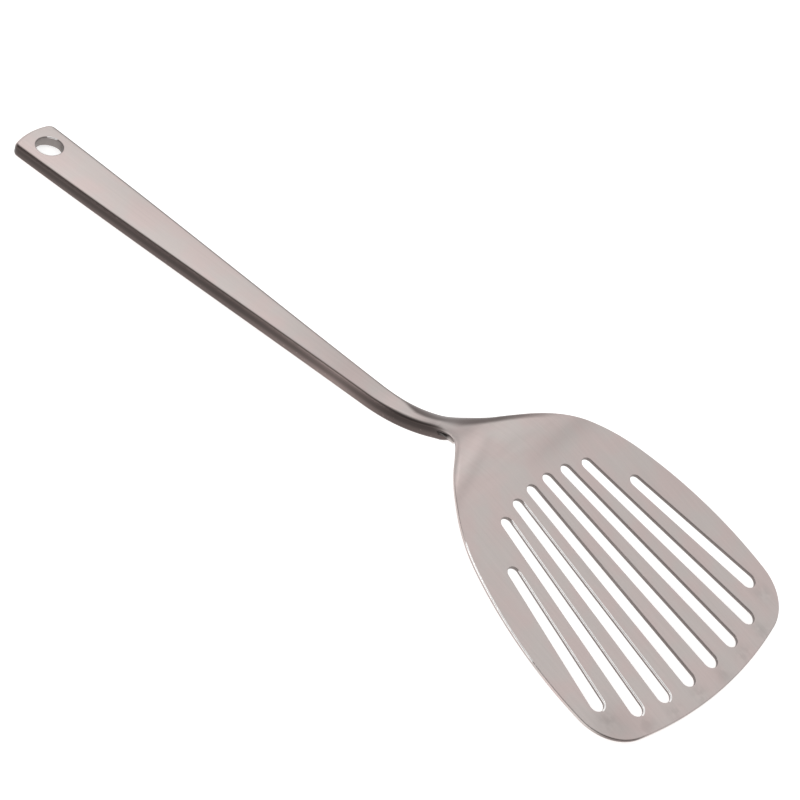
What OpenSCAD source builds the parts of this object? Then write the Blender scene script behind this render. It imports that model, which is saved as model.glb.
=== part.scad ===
// Slotted turner with a bar handle and a fan of slots, in millimetres.
// The visible side of the handle and blade is up. The turner lies on a table on the end of its
// handle and on the front edge of its blade. It runs along X with the blade towards +X, and it is
// the same on both sides of Y = 0.
// Origin: middle of its length and width, at the height of the table.

/* [Blade] */
// Length of the flat blade, from the line where its root starts to bend to the front edge
blade_len = 96.7; // [80:0.1:120]
// Greatest width of the blade
blade_w = 106.5; // [100:0.5:114]
// Thickness of the sheet
sheet_t = 1.35; // [1:0.05:2]
// Distance from the bend line to where the blade is widest
widest_at = 65; // [60:0.5:70]
// Radius of the front edge
front_r = 160; // [130:1:240]
// Radius of the two front corners
corner_r = 19; // [8:0.5:24]
// Radius of the long sides
side_r = 150; // [120:1:200]
// Radius of the shoulders behind the long sides
shoulder_r = 63; // [50:0.5:75]
// Slope of the outline where a long side passes into its shoulder, in degrees
shoulder_slope = 18.5; // [14:0.1:22]
// Slope of the outline between a shoulder and the neck, in degrees
flare_slope = 57.5; // [50:0.5:62]
// Radius of the hollow between the flare and the neck
flare_r = 16; // [12:0.5:24]

/* [Slots] */
// Number of slots on each side of the middle
slot_pairs = 4; // [1:1:4]
// Angle between neighbouring slots, in degrees
slot_angle = 3.02; // [2.8:0.01:3.1]
// Distance behind the bend line of the point that the slots fan out from
fan_back = 158; // [150:1:170]
// Width of a slot at its end near the neck
slot_back_w = 4.5; // [3:0.1:5]
// Width of a slot at its front end
slot_front_w = 5.7; // [4.6:0.1:6.5]
// Distance from the bend line to where the middle slots start
slot_start = 5; // [4:0.1:15]
// Radius of the arc that the slots start on
slot_start_r = 66; // [55:1:90]
// Metal left between the front ends of the slots and the front edge
slot_front_gap = 6.8; // [5:0.1:15]
// How much later the outermost slots start
outer_start_extra = 10; // [4:0.5:20]
// How much earlier the outermost slots end
outer_front_extra = 6; // [2:0.5:15]

/* [Neck] */
// Radius of the bend from the flat blade down into the neck
root_bend_r = 38; // [32:0.5:42]
// Slope of the neck's steepest stretch against the blade, in degrees
neck_slope = 48; // [42:0.5:52]
// Length of the neck's straight stretch
neck_straight = 4; // [2:0.5:8]
// Radius of the bend from the neck into the handle
neck_bend_r = 58; // [45:0.5:80]
// Slope of the handle against the blade, in degrees
handle_slope = 18; // [12:0.5:24]
// Width of the neck at its narrowest
neck_w = 7.8; // [7:0.1:10]
// Thickness of the neck
neck_t = 5.6; // [4:0.1:6.5]
// Drop of the rolled edges of the root and the neck
roll_drop = 0.7; // [0.4:0.1:1.2]
// Width of the rolled edges
roll_w = 3.2; // [2.4:0.1:3.4]

/* [Handle] */
// Length of the straight handle, from the neck's bend to its end
handle_len = 162.7; // [120:0.1:200]
// Width of the handle at its end
handle_w = 19.4; // [15:0.1:24]
// Thickness of the handle at its end
handle_t = 4.8; // [4:0.1:6]
// Share of the taper that follows a straight line; the rest eases in and out
taper_straight = 0.45; // [0:0.05:1]
// Radius of the handle's long edges
edge_r = 1.2; // [0.6:0.1:1.6]
// Radius of the two corners at the handle's end
end_corner_r = 2.75; // [2:0.25:5]
// Bulge of the handle's end between its corners
end_bow = 0.9; // [0.1:0.1:1.5]

/* [Hanging hole] */
// Diameter of the hanging hole
hole_d = 10; // [6:0.5:11]
// Distance from the hole's centre to the handle's end
hole_from_end = 9.9; // [8.5:0.1:20]
// Broken edge around the hole's visible rim
hole_edge = 0.2; // [0.1:0.05:0.5]
// Countersink around the hole's hidden rim
hole_back_edge = 1.2; // [0.2:0.1:1.4]

/* [Weld] */
// Length of the handle's tongue under the root of the blade
tongue_len = 13; // [10:0.5:18]
// Thickness of the tongue's tip
tongue_tip_t = 1.8; // [1.6:0.1:2.5]
// Leg of the fillet weld around the tongue
weld_leg = 1.2; // [0.8:0.1:1.4]
// How far the weld stands out beside the root in front of the seam, in the corner under the neck
weld_bulge = 1.5; // [0.6:0.1:1.8]
// Fit between the tongue and the root, which the weld closes
lap_gap = 0.02; // [0.01:0.01:0.05]

/* [Hidden] */

steel = [0.74, 0.70, 0.67];
weld_steel = [0.60, 0.55, 0.51];

// Degrees between points on the large arcs and on the small ones
big_step = 2;
small_step = 10;
// Stretches between rings along the root's bend, the neck's bend and the handle
root_steps = 20;
neck_steps = 12;
handle_steps = 16;
// Stretches across a rounded or rolled edge
edge_steps = 5;
// Stretches around the handle's end corners and around the tongue's nose
end_steps = 6;
nose_steps = 7;
// Share of the root over which its edges roll down, and the most of the tongue's half width that
// a rolled edge takes
roll_share = 0.6;
roll_limit = 0.8;
// Length of the tongue's nose over half its width
nose_ratio = 1.1;
// Share of the end's bulge that is left off as a flat
end_flat = 0.1;
// Least that the weld stands out, and the length over which it stands out more
weld_min = 0.1;
weld_run = 8;

function sq(a) = a * a;
function unit(angle) = [cos(angle), sin(angle)];
function arc(centre, r, from, to, step) =
    let (n = max(2, ceil(abs(to - from) / step)))
    [for (i = [0 : n]) centre + r * unit(from + (to - from) * i / n)];
function flip_y(points) =
    [for (i = [len(points) - 1 : -1 : 0]) [points[i][0], -points[i][1]]];
function mix(a, b, f) = a + (b - a) * f;
// Eases from 0 to 1 as f goes from 0 to 1
function ease(f) =
    let (g = min(1, max(0, f)))
    g * g * (3 - 2 * g);

// Plan of the blade, seen square to its flat face, with the bend line at x = 0
half_w = blade_w / 2;
half_neck = neck_w / 2;
front_c = [blade_len - front_r, 0];
side_c = [widest_at, half_w - side_r];
shoulder_c = side_c + (side_r - shoulder_r) * [-sin(shoulder_slope), cos(shoulder_slope)];
// A corner arc touches the front arc and the side arc from inside
corner_span = norm(side_c - front_c);
corner_dir = (side_c - front_c) / corner_span;
corner_along =
    (sq(front_r - corner_r) - sq(side_r - corner_r) + sq(corner_span)) / (2 * corner_span);
corner_off = sqrt(sq(front_r - corner_r) - sq(corner_along));
corner_c = front_c + corner_along * corner_dir + corner_off * [-corner_dir[1], corner_dir[0]];
side_to_corner = atan2(corner_c[1] - side_c[1], corner_c[0] - side_c[0]);
corner_to_front = atan2(corner_c[1] - front_c[1], corner_c[0] - front_c[0]);
// The flare is a straight tangent from the shoulder to the hollow at the neck
flare_p = shoulder_c + shoulder_r * [-sin(flare_slope), cos(flare_slope)];
hollow_y = half_neck + flare_r;
hollow_x =
    flare_p[0] + ((hollow_y - flare_p[1]) * cos(flare_slope) - flare_r) / sin(flare_slope);
hollow_end = hollow_x + flare_r * sin(flare_slope);

// Half the width of the root and the neck at a distance x from the bend line
function plan_half(x) =
    x <= hollow_x ? half_neck
    : x <= hollow_end ? hollow_y - sqrt(sq(flare_r) - sq(x - hollow_x))
    : x <= flare_p[0] ? flare_p[1] - (flare_p[0] - x) * tan(flare_slope)
    : shoulder_c[1] + sqrt(sq(shoulder_r) - sq(x - shoulder_c[0]));

// Side view of the visible face, by the length u along it back from the bend line
root_len = root_bend_r * neck_slope * PI / 180;
seam_u = root_len + neck_straight;
handle_u = seam_u + neck_bend_r * (neck_slope - handle_slope) * PI / 180;
end_u = handle_u + handle_len;
root_end = root_bend_r * [-sin(neck_slope), cos(neck_slope) - 1];
seam_p = root_end - neck_straight * unit(neck_slope);

function root_point(a) = root_bend_r * [-sin(a), cos(a) - 1];
function neck_point(a) =
    seam_p - neck_bend_r * [sin(neck_slope) - sin(a), cos(a) - cos(neck_slope)];
function slope_at(u) =
    u <= root_len ? u / root_bend_r * 180 / PI
    : u <= seam_u ? neck_slope
    : u <= handle_u ? neck_slope - (u - seam_u) / neck_bend_r * 180 / PI
    : handle_slope;
function path(u) =
    u <= root_len ? root_point(slope_at(u))
    : u <= seam_u ? root_end - (u - root_len) * unit(neck_slope)
    : u <= handle_u ? neck_point(slope_at(u))
    : neck_point(handle_slope) - (u - handle_u) * unit(handle_slope);
// A point at length u, at y across and at a depth below the visible face
function at(u, y, depth) =
    let (p = path(u), a = slope_at(u))
    [p[0] + depth * sin(a), y, p[1] - depth * cos(a)];

// Half the width and the thickness of the bar, from the seam to the handle's end
function along(u) = (u - seam_u) / (end_u - seam_u);
function taper(f) = mix(ease(f), f, taper_straight);
function root_half(u) = plan_half(path(u)[0]);
function bar_half(u) = max(root_half(u), mix(half_neck, handle_w / 2, taper(along(u))));
function bar_t(u) = mix(neck_t, handle_t, sq(along(u)));

// The visible edges are rolled on the root and the neck, and plainly rounded on the handle.
// curl is 0 for a rolled edge and 1 for a round one.
function curl(u) = ease((u - seam_u) / (handle_u - seam_u));
function edge_w(u) = mix(roll_w, edge_r, curl(u));
function edge_drop(u) = mix(roll_drop * ease(u / (roll_share * root_len)), edge_r, curl(u));
function edge_depth(u, half, y) =
    let (s = min(1, max(0, (y - half) / edge_w(u) + 1)))
    edge_drop(u) * mix(sq(s), 1 - sqrt(1 - sq(s)), curl(u));
// Places across a visible edge. They crowd towards the side where the edge is round.
function edge_ys(u, half) =
    [for (i = [0 : edge_steps])
        let (s = mix(i / edge_steps, sin(90 * i / edge_steps), curl(u)))
        half - edge_w(u) * (1 - s)];

// A solid skin over rings of points. Each ring goes down its +Y side and up its -Y side. The two
// ends are closed by fans around their middles.
module loft(rings) {
    n = len(rings[0]);
    m = len(rings);
    first_mid = m * n;
    last_mid = first_mid + 1;
    function middle(ring) = [for (p = ring) 1] * ring / n;
    points = concat([for (r = rings) each r], [middle(rings[0]), middle(rings[m - 1])]);
    walls = [for (i = [0 : m - 2], j = [0 : n - 1])
        let (a = i * n + j, b = i * n + (j + 1) % n)
        each [[a, a + n, b], [b, a + n, b + n]]];
    first_fan = [for (j = [0 : n - 1]) [j, (j + 1) % n, first_mid]];
    last_fan = [for (j = [0 : n - 1]) [(m - 1) * n + (j + 1) % n, (m - 1) * n + j, last_mid]];
    polyhedron(points, concat(first_fan, walls, last_fan), convexity = 10);
}
// A ring at length u from the points of its +Y side, each a place across and a depth
function ring(u, side) = concat(
    [for (p = side) at(u, p[0], p[1])],
    [for (i = [len(side) - 1 : -1 : 0]) at(u, -side[i][0], side[i][1])]);

// Side of the sheet's section: the visible face, then the hidden face one sheet below it
function sheet_side(u) =
    let (half = root_half(u), ys = edge_ys(u, half))
    concat(
        [for (y = ys) [y, edge_depth(u, half, y)]],
        [for (i = [edge_steps : -1 : 0]) [ys[i], edge_depth(u, half, ys[i]) + sheet_t]]);
// Lower part of the bar's section: the side wall and the rounded hidden edge
function under_side(half, depth, r) =
    [for (i = [0 : edge_steps])
        let (a = 90 * i / edge_steps)
        [half - r + r * cos(a), depth - r + r * sin(a)]];
// Side of the bar's section. Near the handle's end it is inset all round by the rounding.
function bar_side(u, half, inset) =
    let (round = (edge_r - inset) / edge_r, bottom = bar_t(u) - inset)
    concat(
        [for (y = edge_ys(u, half)) [y, inset + edge_depth(u, half, y) * round]],
        [for (p = under_side(half, bottom, edge_r))
            [p[0], bottom + (p[1] - bottom) * round]]);

// The tongue: the bar goes on under the root, one sheet deeper, thins and ends in a round nose
tongue_u = seam_u - tongue_len;
tongue_half = bar_half(seam_u);
nose_len = nose_ratio * tongue_half;
function nose_u(a) = tongue_u + nose_len * (1 - cos(a));
function tongue_half_at(u) =
    let (s = max(0, 1 - (u - tongue_u) / nose_len))
    tongue_half * sqrt(1 - sq(s));
// Places of the tongue's straight rings, from the seam to where the nose begins
step_us = [for (i = [0 : nose_steps]) mix(seam_u - lap_gap / 2, tongue_u + nose_len, i / nose_steps)];
function tongue_top(u, y) = edge_depth(u, root_half(u), y) + sheet_t + lap_gap;
function tongue_bottom(u) = mix(sheet_t + tongue_tip_t, neck_t, ease((u - tongue_u) / tongue_len));
function tongue_side(u) =
    let (half = tongue_half_at(u), r = min(edge_r, half / 2, (tongue_bottom(u) - sheet_t) / 3))
    concat(
        [for (i = [0 : edge_steps])
            let (y = half - min(roll_w, roll_limit * half) * (1 - i / edge_steps))
            [y, tongue_top(u, y)]],
        under_side(half, tongue_bottom(u), r));

// The handle's end: corner arcs, and between them a bulge. e is the distance to the very end.
function end_half(e) =
    let (side = handle_w / 2 - end_corner_r)
    e < end_bow ? side * sqrt(max(end_flat, e / end_bow))
    : side + sqrt(sq(end_corner_r) - sq(max(0, end_corner_r - e + end_bow)));
function end_inset(e) = edge_r - sqrt(sq(edge_r) - sq(max(0, edge_r - e)));
end_places = concat(
    [for (i = [0 : end_steps]) end_bow + end_corner_r * (1 - sin(90 * i / end_steps))],
    [0.5 * end_bow, 0]);

// One slot, with i = 0 next to the middle: two round ends joined by straight sides
function reach(centre_x, r, angle, way) =
    let (d = centre_x + fan_back)
    d * cos(angle) + way * sqrt(sq(r) - sq(d * sin(angle)));
function slot_outline(i) =
    let (
        angle = slot_angle * (i + 0.5),
        outermost = i == slot_pairs - 1 ? 1 : 0,
        back_r = slot_back_w / 2,
        tip_r = slot_front_w / 2,
        back = reach(slot_start + slot_start_r, slot_start_r, angle, -1) + back_r
            + outermost * outer_start_extra,
        tip = reach(front_c[0], front_r, angle, 1) - tip_r - slot_front_gap
            - outermost * outer_front_extra,
        spread = asin((tip_r - back_r) / (tip - back)),
        apex = [-fan_back, 0])
    concat(
        arc(apex + tip * unit(angle), tip_r, angle - 90 - spread, angle + 90 + spread, small_step),
        arc(apex + back * unit(angle), back_r, angle + 90 + spread, angle + 270 - spread, small_step));

// Plan of the flat blade on its +Y side, from the bend line to the middle of the front
function blade_half_plan() = concat(
    arc(shoulder_c, shoulder_r, 90 + asin(shoulder_c[0] / shoulder_r), 90 + shoulder_slope, big_step),
    arc(side_c, side_r, 90 + shoulder_slope, side_to_corner, big_step),
    arc(corner_c, corner_r, side_to_corner, corner_to_front, 2 * big_step),
    arc(front_c, front_r, corner_to_front, 0, big_step));

// Posture: both the handle's rounded lower end and the blade's lower front edge touch z = 0
end_p = path(end_u);
end_dir = unit(handle_slope);
end_down = [sin(handle_slope), -cos(handle_slope)];
foot_c = end_p + edge_r * end_dir + (handle_t - edge_r) * end_down;
heel_c = end_p + edge_r * end_dir + edge_r * end_down;
toe = [blade_len, -sheet_t];
pitch = atan2(toe[1] - foot_c[1], toe[0] - foot_c[0]) + asin(edge_r / norm(toe - foot_c));
function pitched(p) =
    [p[0] * cos(pitch) + p[1] * sin(pitch), p[1] * cos(pitch) - p[0] * sin(pitch)];
shift_x = -(pitched(heel_c)[0] - edge_r + pitched([blade_len, 0])[0]) / 2;
shift_z = -pitched(toe)[1];

module place() {
    translate([shift_x, 0, shift_z]) rotate([0, pitch, 0]) children();
}

module slots() {
    for (i = [0 : slot_pairs - 1]) {
        outline = slot_outline(i);
        translate([0, 0, -2 * sheet_t]) linear_extrude(3 * sheet_t) polygon(outline);
        translate([0, 0, -2 * sheet_t]) linear_extrude(3 * sheet_t) polygon(flip_y(outline));
    }
}

module blade() {
    half_plan = blade_half_plan();
    tang_end = seam_u - lap_gap;
    us = concat(
        [for (i = [0 : root_steps]) root_len * i / root_steps],
        [mix(root_len, tang_end, 0.5), tang_end]);
    color(steel) place() {
        difference() {
            translate([0, 0, -sheet_t])
                linear_extrude(sheet_t)
                    polygon(concat(half_plan, flip_y(half_plan)));
            slots();
        }
        loft([for (u = us) ring(u, sheet_side(u))]);
    }
}

module hanging_hole() {
    over = 1;
    hole_u = end_u - hole_from_end;
    p = at(hole_u, 0, 0);
    depth = bar_t(hole_u);
    translate(p) rotate([0, -handle_slope, 0]) {
        translate([0, 0, -depth - over]) cylinder(h = depth + 2 * over, d = hole_d, $fn = 64);
        translate([0, 0, -hole_edge])
            cylinder(h = 2 * hole_edge, d1 = hole_d, d2 = hole_d + 4 * hole_edge, $fn = 64);
        translate([0, 0, -depth - hole_back_edge])
            cylinder(h = 2 * hole_back_edge, d1 = hole_d + 4 * hole_back_edge, d2 = hole_d, $fn = 64);
    }
}

module handle() {
    nose_us = [for (i = [1 : nose_steps - 1]) nose_u(90 * i / nose_steps)];
    under_us = [for (i = [nose_steps : -1 : 0]) step_us[i]];
    neck_us = [for (i = [0 : neck_steps]) mix(seam_u, handle_u, i / neck_steps)];
    end_start = end_u - max(end_places);
    bar_us = [for (i = [1 : handle_steps - 1]) mix(handle_u, end_start, i / handle_steps)];
    color(steel) place() difference() {
        loft(concat(
            [for (u = concat(nose_us, under_us)) ring(u, tongue_side(u))],
            [for (u = concat(neck_us, bar_us)) ring(u, bar_side(u, bar_half(u), 0))],
            [for (e = end_places) ring(end_u - e, bar_side(end_u - e, end_half(e), end_inset(e)))]));
        hanging_hole();
    }
}

// The weld follows the tongue's outline. A station is a place along and across with the outward
// direction there, and its ring is a fillet between the tongue's wall and the root's hidden face.
weld_belly = 0.58;
function station(u, y, out) = [u, y, out[0], out[1]];
function mirrored(s) = [s[0], -s[1], s[2], -s[3]];
function nose_out(a) =
    let (n = [-cos(a) / nose_len, sin(a) / tongue_half])
    n / norm(n);
function hidden_depth(u, y) = edge_depth(u, root_half(u), abs(y)) + sheet_t;
function weld_ring(s) =
    let (
        u = s[0],
        y = s[1],
        bulge = weld_min + weld_bulge * sin(180 * min(1, max(0, (seam_u - u) / weld_run))),
        leg = max(bulge, min(weld_leg, root_half(u) - abs(y))),
        root = hidden_depth(u, y))
    [
        at(u, y, root + weld_leg),
        at(u + weld_belly * leg * s[2], y + weld_belly * leg * s[3], root + weld_belly * weld_leg),
        at(u + leg * s[2], y + leg * s[3], hidden_depth(u + leg * s[2], y + leg * s[3])),
        at(u, y, root)
    ];

module neck_weld() {
    tip_a = 90 / nose_steps;
    side = concat(
        [for (u = step_us) station(u, tongue_half, [0, 1])],
        [for (i = [nose_steps - 1 : -1 : 1])
            let (a = i * tip_a)
            station(nose_u(a), tongue_half * sin(a), nose_out(a))]);
    tip = station(nose_u(tip_a), 0, [-1, 0]);
    back = [for (i = [len(side) - 1 : -1 : 0]) mirrored(side[i])];
    color(weld_steel) place() loft([for (s = concat(side, [tip], back)) weld_ring(s)]);
}

blade();
handle();
neck_weld();
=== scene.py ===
"""A slotted turner of satin steel, lying on a pale table under soft light.

The turner is three pieces: the slotted blade with its bent root, the bar handle with its tongue and
its hanging hole, and the weld that joins them. Each piece is drawn in developed coordinates, as if
it were unbent: a length s along the middle line (0 at the bend line, positive towards the front of
the blade), a place y across, and a depth under the visible face. The side view then bends the
drawing, and the posture lays it on the table.

The pieces' sizes are in millimetres up to the posture, which gives metres. Materials, lamps and
camera are in metres.
"""

import logging
import math
from collections.abc import Callable
from dataclasses import dataclass, field
from enum import Enum

import bmesh
import bpy
import numpy as np
from mathutils import Matrix, Vector


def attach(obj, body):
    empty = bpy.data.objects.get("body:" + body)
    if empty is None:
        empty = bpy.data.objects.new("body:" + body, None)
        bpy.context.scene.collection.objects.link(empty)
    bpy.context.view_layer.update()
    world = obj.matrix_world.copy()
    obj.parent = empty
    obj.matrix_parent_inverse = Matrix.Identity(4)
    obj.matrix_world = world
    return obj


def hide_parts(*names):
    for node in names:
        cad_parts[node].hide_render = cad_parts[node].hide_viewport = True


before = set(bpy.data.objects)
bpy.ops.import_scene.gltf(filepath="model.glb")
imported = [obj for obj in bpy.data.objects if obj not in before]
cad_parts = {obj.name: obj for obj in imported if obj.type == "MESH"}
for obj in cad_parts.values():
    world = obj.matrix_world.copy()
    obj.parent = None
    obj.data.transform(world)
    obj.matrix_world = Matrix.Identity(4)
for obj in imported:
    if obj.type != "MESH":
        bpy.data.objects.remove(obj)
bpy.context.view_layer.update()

Array = np.ndarray
Socket = bpy.types.NodeSocket
Span = tuple[float, float]
Triple = tuple[float, float, float]
Shades = tuple[Span, ...]
log = logging.getLogger("turner")

MM = 0.001
BODY = "root"
MERGE_GAP = 2.0e-6
SHARP_ANGLE = math.radians(38.0)
LAY = "lay"
QUARTER = math.pi / 2.0
BLADE_LEN = 96.7
SHEET_T = 1.35

# Shares of the way down a wall for its rows of points, and a mark on the first row
WALL_WAY = np.linspace(0.0, 1.0, 4)[:, None, None]
TOP_ROW = np.array([1.0, 0.0, 0.0, 0.0])[:, None]


class Mask(Enum):
    """Values stored at each point, mostly from 0 to 1: cut walls, and painted shade and highlights."""

    CUT = "cut"
    FLANK = "flank"
    GLINT = "glint"
    SMUDGE = "smudge"
    TONE = "tone"


def ease(f: Array) -> Array:
    """Eases from 0 to 1: the cubic 3 f^2 - 2 f^3 of f held between 0 and 1."""
    g = np.clip(f, 0.0, 1.0)
    return g * g * (3.0 - 2.0 * g)


def rise(x: Array, start: float, full: float) -> Array:
    """Eases from 0 at one place to 1 at another, which may lie on either side of it."""
    return ease((x - start) / (full - start))


def mix(a: Array, b: Array, f: Array) -> Array:
    """Goes straight from a to b as f goes from 0 to 1: a + (b - a) f."""
    return a + (b - a) * f


def direction(angle: Array) -> Array:
    """Unit vectors of angles, stacked on the last axis: (cos, sin)."""
    return np.stack([np.cos(angle), np.sin(angle)], axis=-1)


def normal(angle: Array) -> Array:
    """Unit vectors square to the directions of angles, on their left: (-sin, cos)."""
    return np.stack([-np.sin(angle), np.cos(angle)], axis=-1)


def lay_points(s: Array, y: Array, depth: Array) -> Array:
    """Stacks developed coordinates of one shape, stretched to fit each other, on a last axis."""
    return np.stack(np.broadcast_arrays(s, y, depth), axis=-1).astype(float)


def round_drop(inset: Array, radius: Array) -> Array:
    """Depth of a quarter round at a distance in from its edge.

    The depth is r (1 - sqrt(1 - t^2)), where t = 1 - inset / r, held at 0 past the round.
    """
    t = np.clip(1.0 - inset / radius, 0.0, 1.0)
    return radius * (1.0 - np.sqrt(np.clip(1.0 - t * t, 0.0, 1.0)))


def round_insets(radius: float, steps: int) -> Array:
    """Distances in from an edge, in even steps round its quarter round: r (1 - sin a)."""
    return radius * (1.0 - np.sin(np.linspace(0.0, QUARTER, steps + 1)))


def run_along(points: Array, turn_weight: float) -> Array:
    """Running measure of a fine line: its length plus turn_weight times the angle turned."""
    steps = np.diff(points, axis=0)
    headings = np.unwrap(np.arctan2(steps[:, 1], steps[:, 0]))
    turns = np.abs(np.diff(headings, prepend=headings[0]))
    lengths = np.linalg.norm(steps, axis=1)
    return np.concatenate([[0.0], np.cumsum(lengths + turn_weight * turns)])


def resample(points: Array, carried: Array, run: Array, count: int) -> tuple[Array, Array]:
    """Takes places along a fine line, evenly spread by a running measure of it.

    Args:
        points: The fine line, one row per point.
        carried: Unit vectors carried along the line, such as its normals.
        run: The running measure at each point.
        count: Number of stretches between the places taken.

    Returns:
        The places and the carried vectors there, count + 1 rows each.
    """
    wanted = np.linspace(0.0, run[-1], count + 1)
    taken = [
        np.stack([np.interp(wanted, run, block[:, i]) for i in range(2)], axis=-1)
        for block in (points, carried)
    ]
    return taken[0], taken[1] / np.linalg.norm(taken[1], axis=1, keepdims=True)


def inward_normals(points: Array) -> Array:
    """Unit normals of half an outline, from its seam to the middle of its far end.

    They lie to the right of the line's direction: the tangent (a, b) gives (b, -a). The first one
    points straight across and the last one straight back.
    """
    tangent = np.gradient(points, axis=0)
    tangent /= np.linalg.norm(tangent, axis=1, keepdims=True)
    normals = np.stack([tangent[:, 1], -tangent[:, 0]], axis=-1)
    normals[0], normals[-1] = (0.0, -1.0), (-1.0, 0.0)
    return normals


def ring(*lines: Array) -> Array:
    """One closed line from lines that each start where the last one ends, without doubled points."""
    return np.concatenate([*(line[:-1] for line in lines[:-1]), lines[-1]])


def mirrored(half: Array) -> Array:
    """Half an outline and its mirror image across the middle line, as one line."""
    return np.concatenate([half, half[-2::-1] * np.array([1.0, -1.0])])


def put(name: str, data: bpy.types.ID) -> bpy.types.Object:
    """Puts a new object with the given data into the scene."""
    made = bpy.data.objects.new(name, data)
    bpy.context.scene.collection.objects.link(made)
    return made


@dataclass(frozen=True)
class SideView:
    """Side view of the visible face, by the length u along it back from the bend line."""

    root_bend_r: float = 38.0
    neck_slope: float = math.radians(48.0)
    neck_straight: float = 4.0
    neck_bend_r: float = 58.0
    handle_slope: float = math.radians(18.0)
    handle_len: float = 162.7

    @property
    def root_len(self) -> float:
        """Length of the root's bend: radius times angle."""
        return self.root_bend_r * self.neck_slope

    @property
    def seam_u(self) -> float:
        """Length at which the blade's tang ends against the bar."""
        return self.root_len + self.neck_straight

    @property
    def handle_u(self) -> float:
        """Length at which the straight handle begins."""
        return self.seam_u + self.neck_bend_r * (self.neck_slope - self.handle_slope)

    @property
    def end_u(self) -> float:
        """Length of the handle's very end."""
        return self.handle_u + self.handle_len

    def _stretches(self, u: Array) -> list[Array]:
        """Masks of the flat blade, the root's bend, the neck and its bend; the handle is the rest."""
        return [u <= 0.0, u <= self.root_len, u <= self.seam_u, u <= self.handle_u]

    def slope(self, u: Array) -> Array:
        """Slope of the face: it grows as u / R on the root and falls again on the neck's bend."""
        bend = self.neck_slope - (u - self.seam_u) / self.neck_bend_r
        return np.select(
            self._stretches(u),
            [np.zeros_like(u), u / self.root_bend_r, np.full_like(u, self.neck_slope), bend],
            default=self.handle_slope,
        )

    def path(self, u: Array) -> tuple[Array, Array]:
        """Places along the face in the side view.

        With d = (cos a, sin a) and n = (-sin a, cos a) at a slope a, the root is R (n - (0, 1)), the
        neck goes straight on by -d, its bend is an arc of the other hand, B (n at the neck - n), and
        the handle goes straight on by -d again. Each starts where the last one ends.
        """
        steep, flat = self.neck_slope, self.handle_slope
        on, up = u[..., None], normal(self.slope(u))
        root = self.root_bend_r * (up - normal(0.0))
        root_end = self.root_bend_r * (normal(steep) - normal(0.0))
        neck = root_end - (on - self.root_len) * direction(steep)
        seam = root_end - self.neck_straight * direction(steep)
        bend = seam + self.neck_bend_r * (normal(steep) - up)
        bar = seam + self.neck_bend_r * (normal(steep) - normal(flat))
        bar = bar - (on - self.handle_u) * direction(flat)
        level = np.concatenate([-on, np.zeros_like(on)], axis=-1)
        masks = [mask[..., None] for mask in self._stretches(u)]
        place = np.select(masks, [level, root, neck, bend], default=bar)
        return place[..., 0], place[..., 1]

    def bend(self, lay: Array) -> Array:
        """Bends developed points: the path's place, less the depth along the face's normal."""
        u = -lay[..., 0]
        x, z = self.path(u)
        a = self.slope(u)
        depth = lay[..., 2]
        return np.stack([x + depth * np.sin(a), lay[..., 1], z - depth * np.cos(a)], axis=-1)


@dataclass(frozen=True)
class Posture:
    """How the turner lies: on the rounded end of its handle and on its blade's front edge."""

    blade_len: float = BLADE_LEN
    sheet_t: float = SHEET_T
    handle_t: float = 4.8
    edge_r: float = 1.2

    def place(self, points: Array, side: SideView) -> Array:
        """Turns points about Y and shifts them, so that both feet touch the table, in metres.

        The turn is the slope from the end's lower round to the front edge, plus the angle whose
        sine is the round's radius over their distance. The middle of the length is then X = 0.
        """
        end_x, end_z = side.path(np.array([side.end_u]))
        c, s = math.cos(side.handle_slope), math.sin(side.handle_slope)
        along, down = np.array([c, s]), np.array([s, -c])
        end = np.array([end_x[0], end_z[0]])
        foot = end + self.edge_r * along + (self.handle_t - self.edge_r) * down
        heel = end + self.edge_r * along + self.edge_r * down
        toe = np.array([self.blade_len, -self.sheet_t])
        reach = toe - foot
        pitch = math.atan2(reach[1], reach[0]) + math.asin(self.edge_r / np.linalg.norm(reach))
        cos_p, sin_p = math.cos(pitch), math.sin(pitch)
        heel_x = heel[0] * cos_p + heel[1] * sin_p - self.edge_r
        shift_x = -(heel_x + self.blade_len * cos_p) / 2.0
        shift_z = -(toe[1] * cos_p - toe[0] * sin_p)
        x = points[..., 0] * cos_p + points[..., 2] * sin_p + shift_x
        z = points[..., 2] * cos_p - points[..., 0] * sin_p + shift_z
        return np.stack([x, points[..., 1], z], axis=-1) * MM


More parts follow.
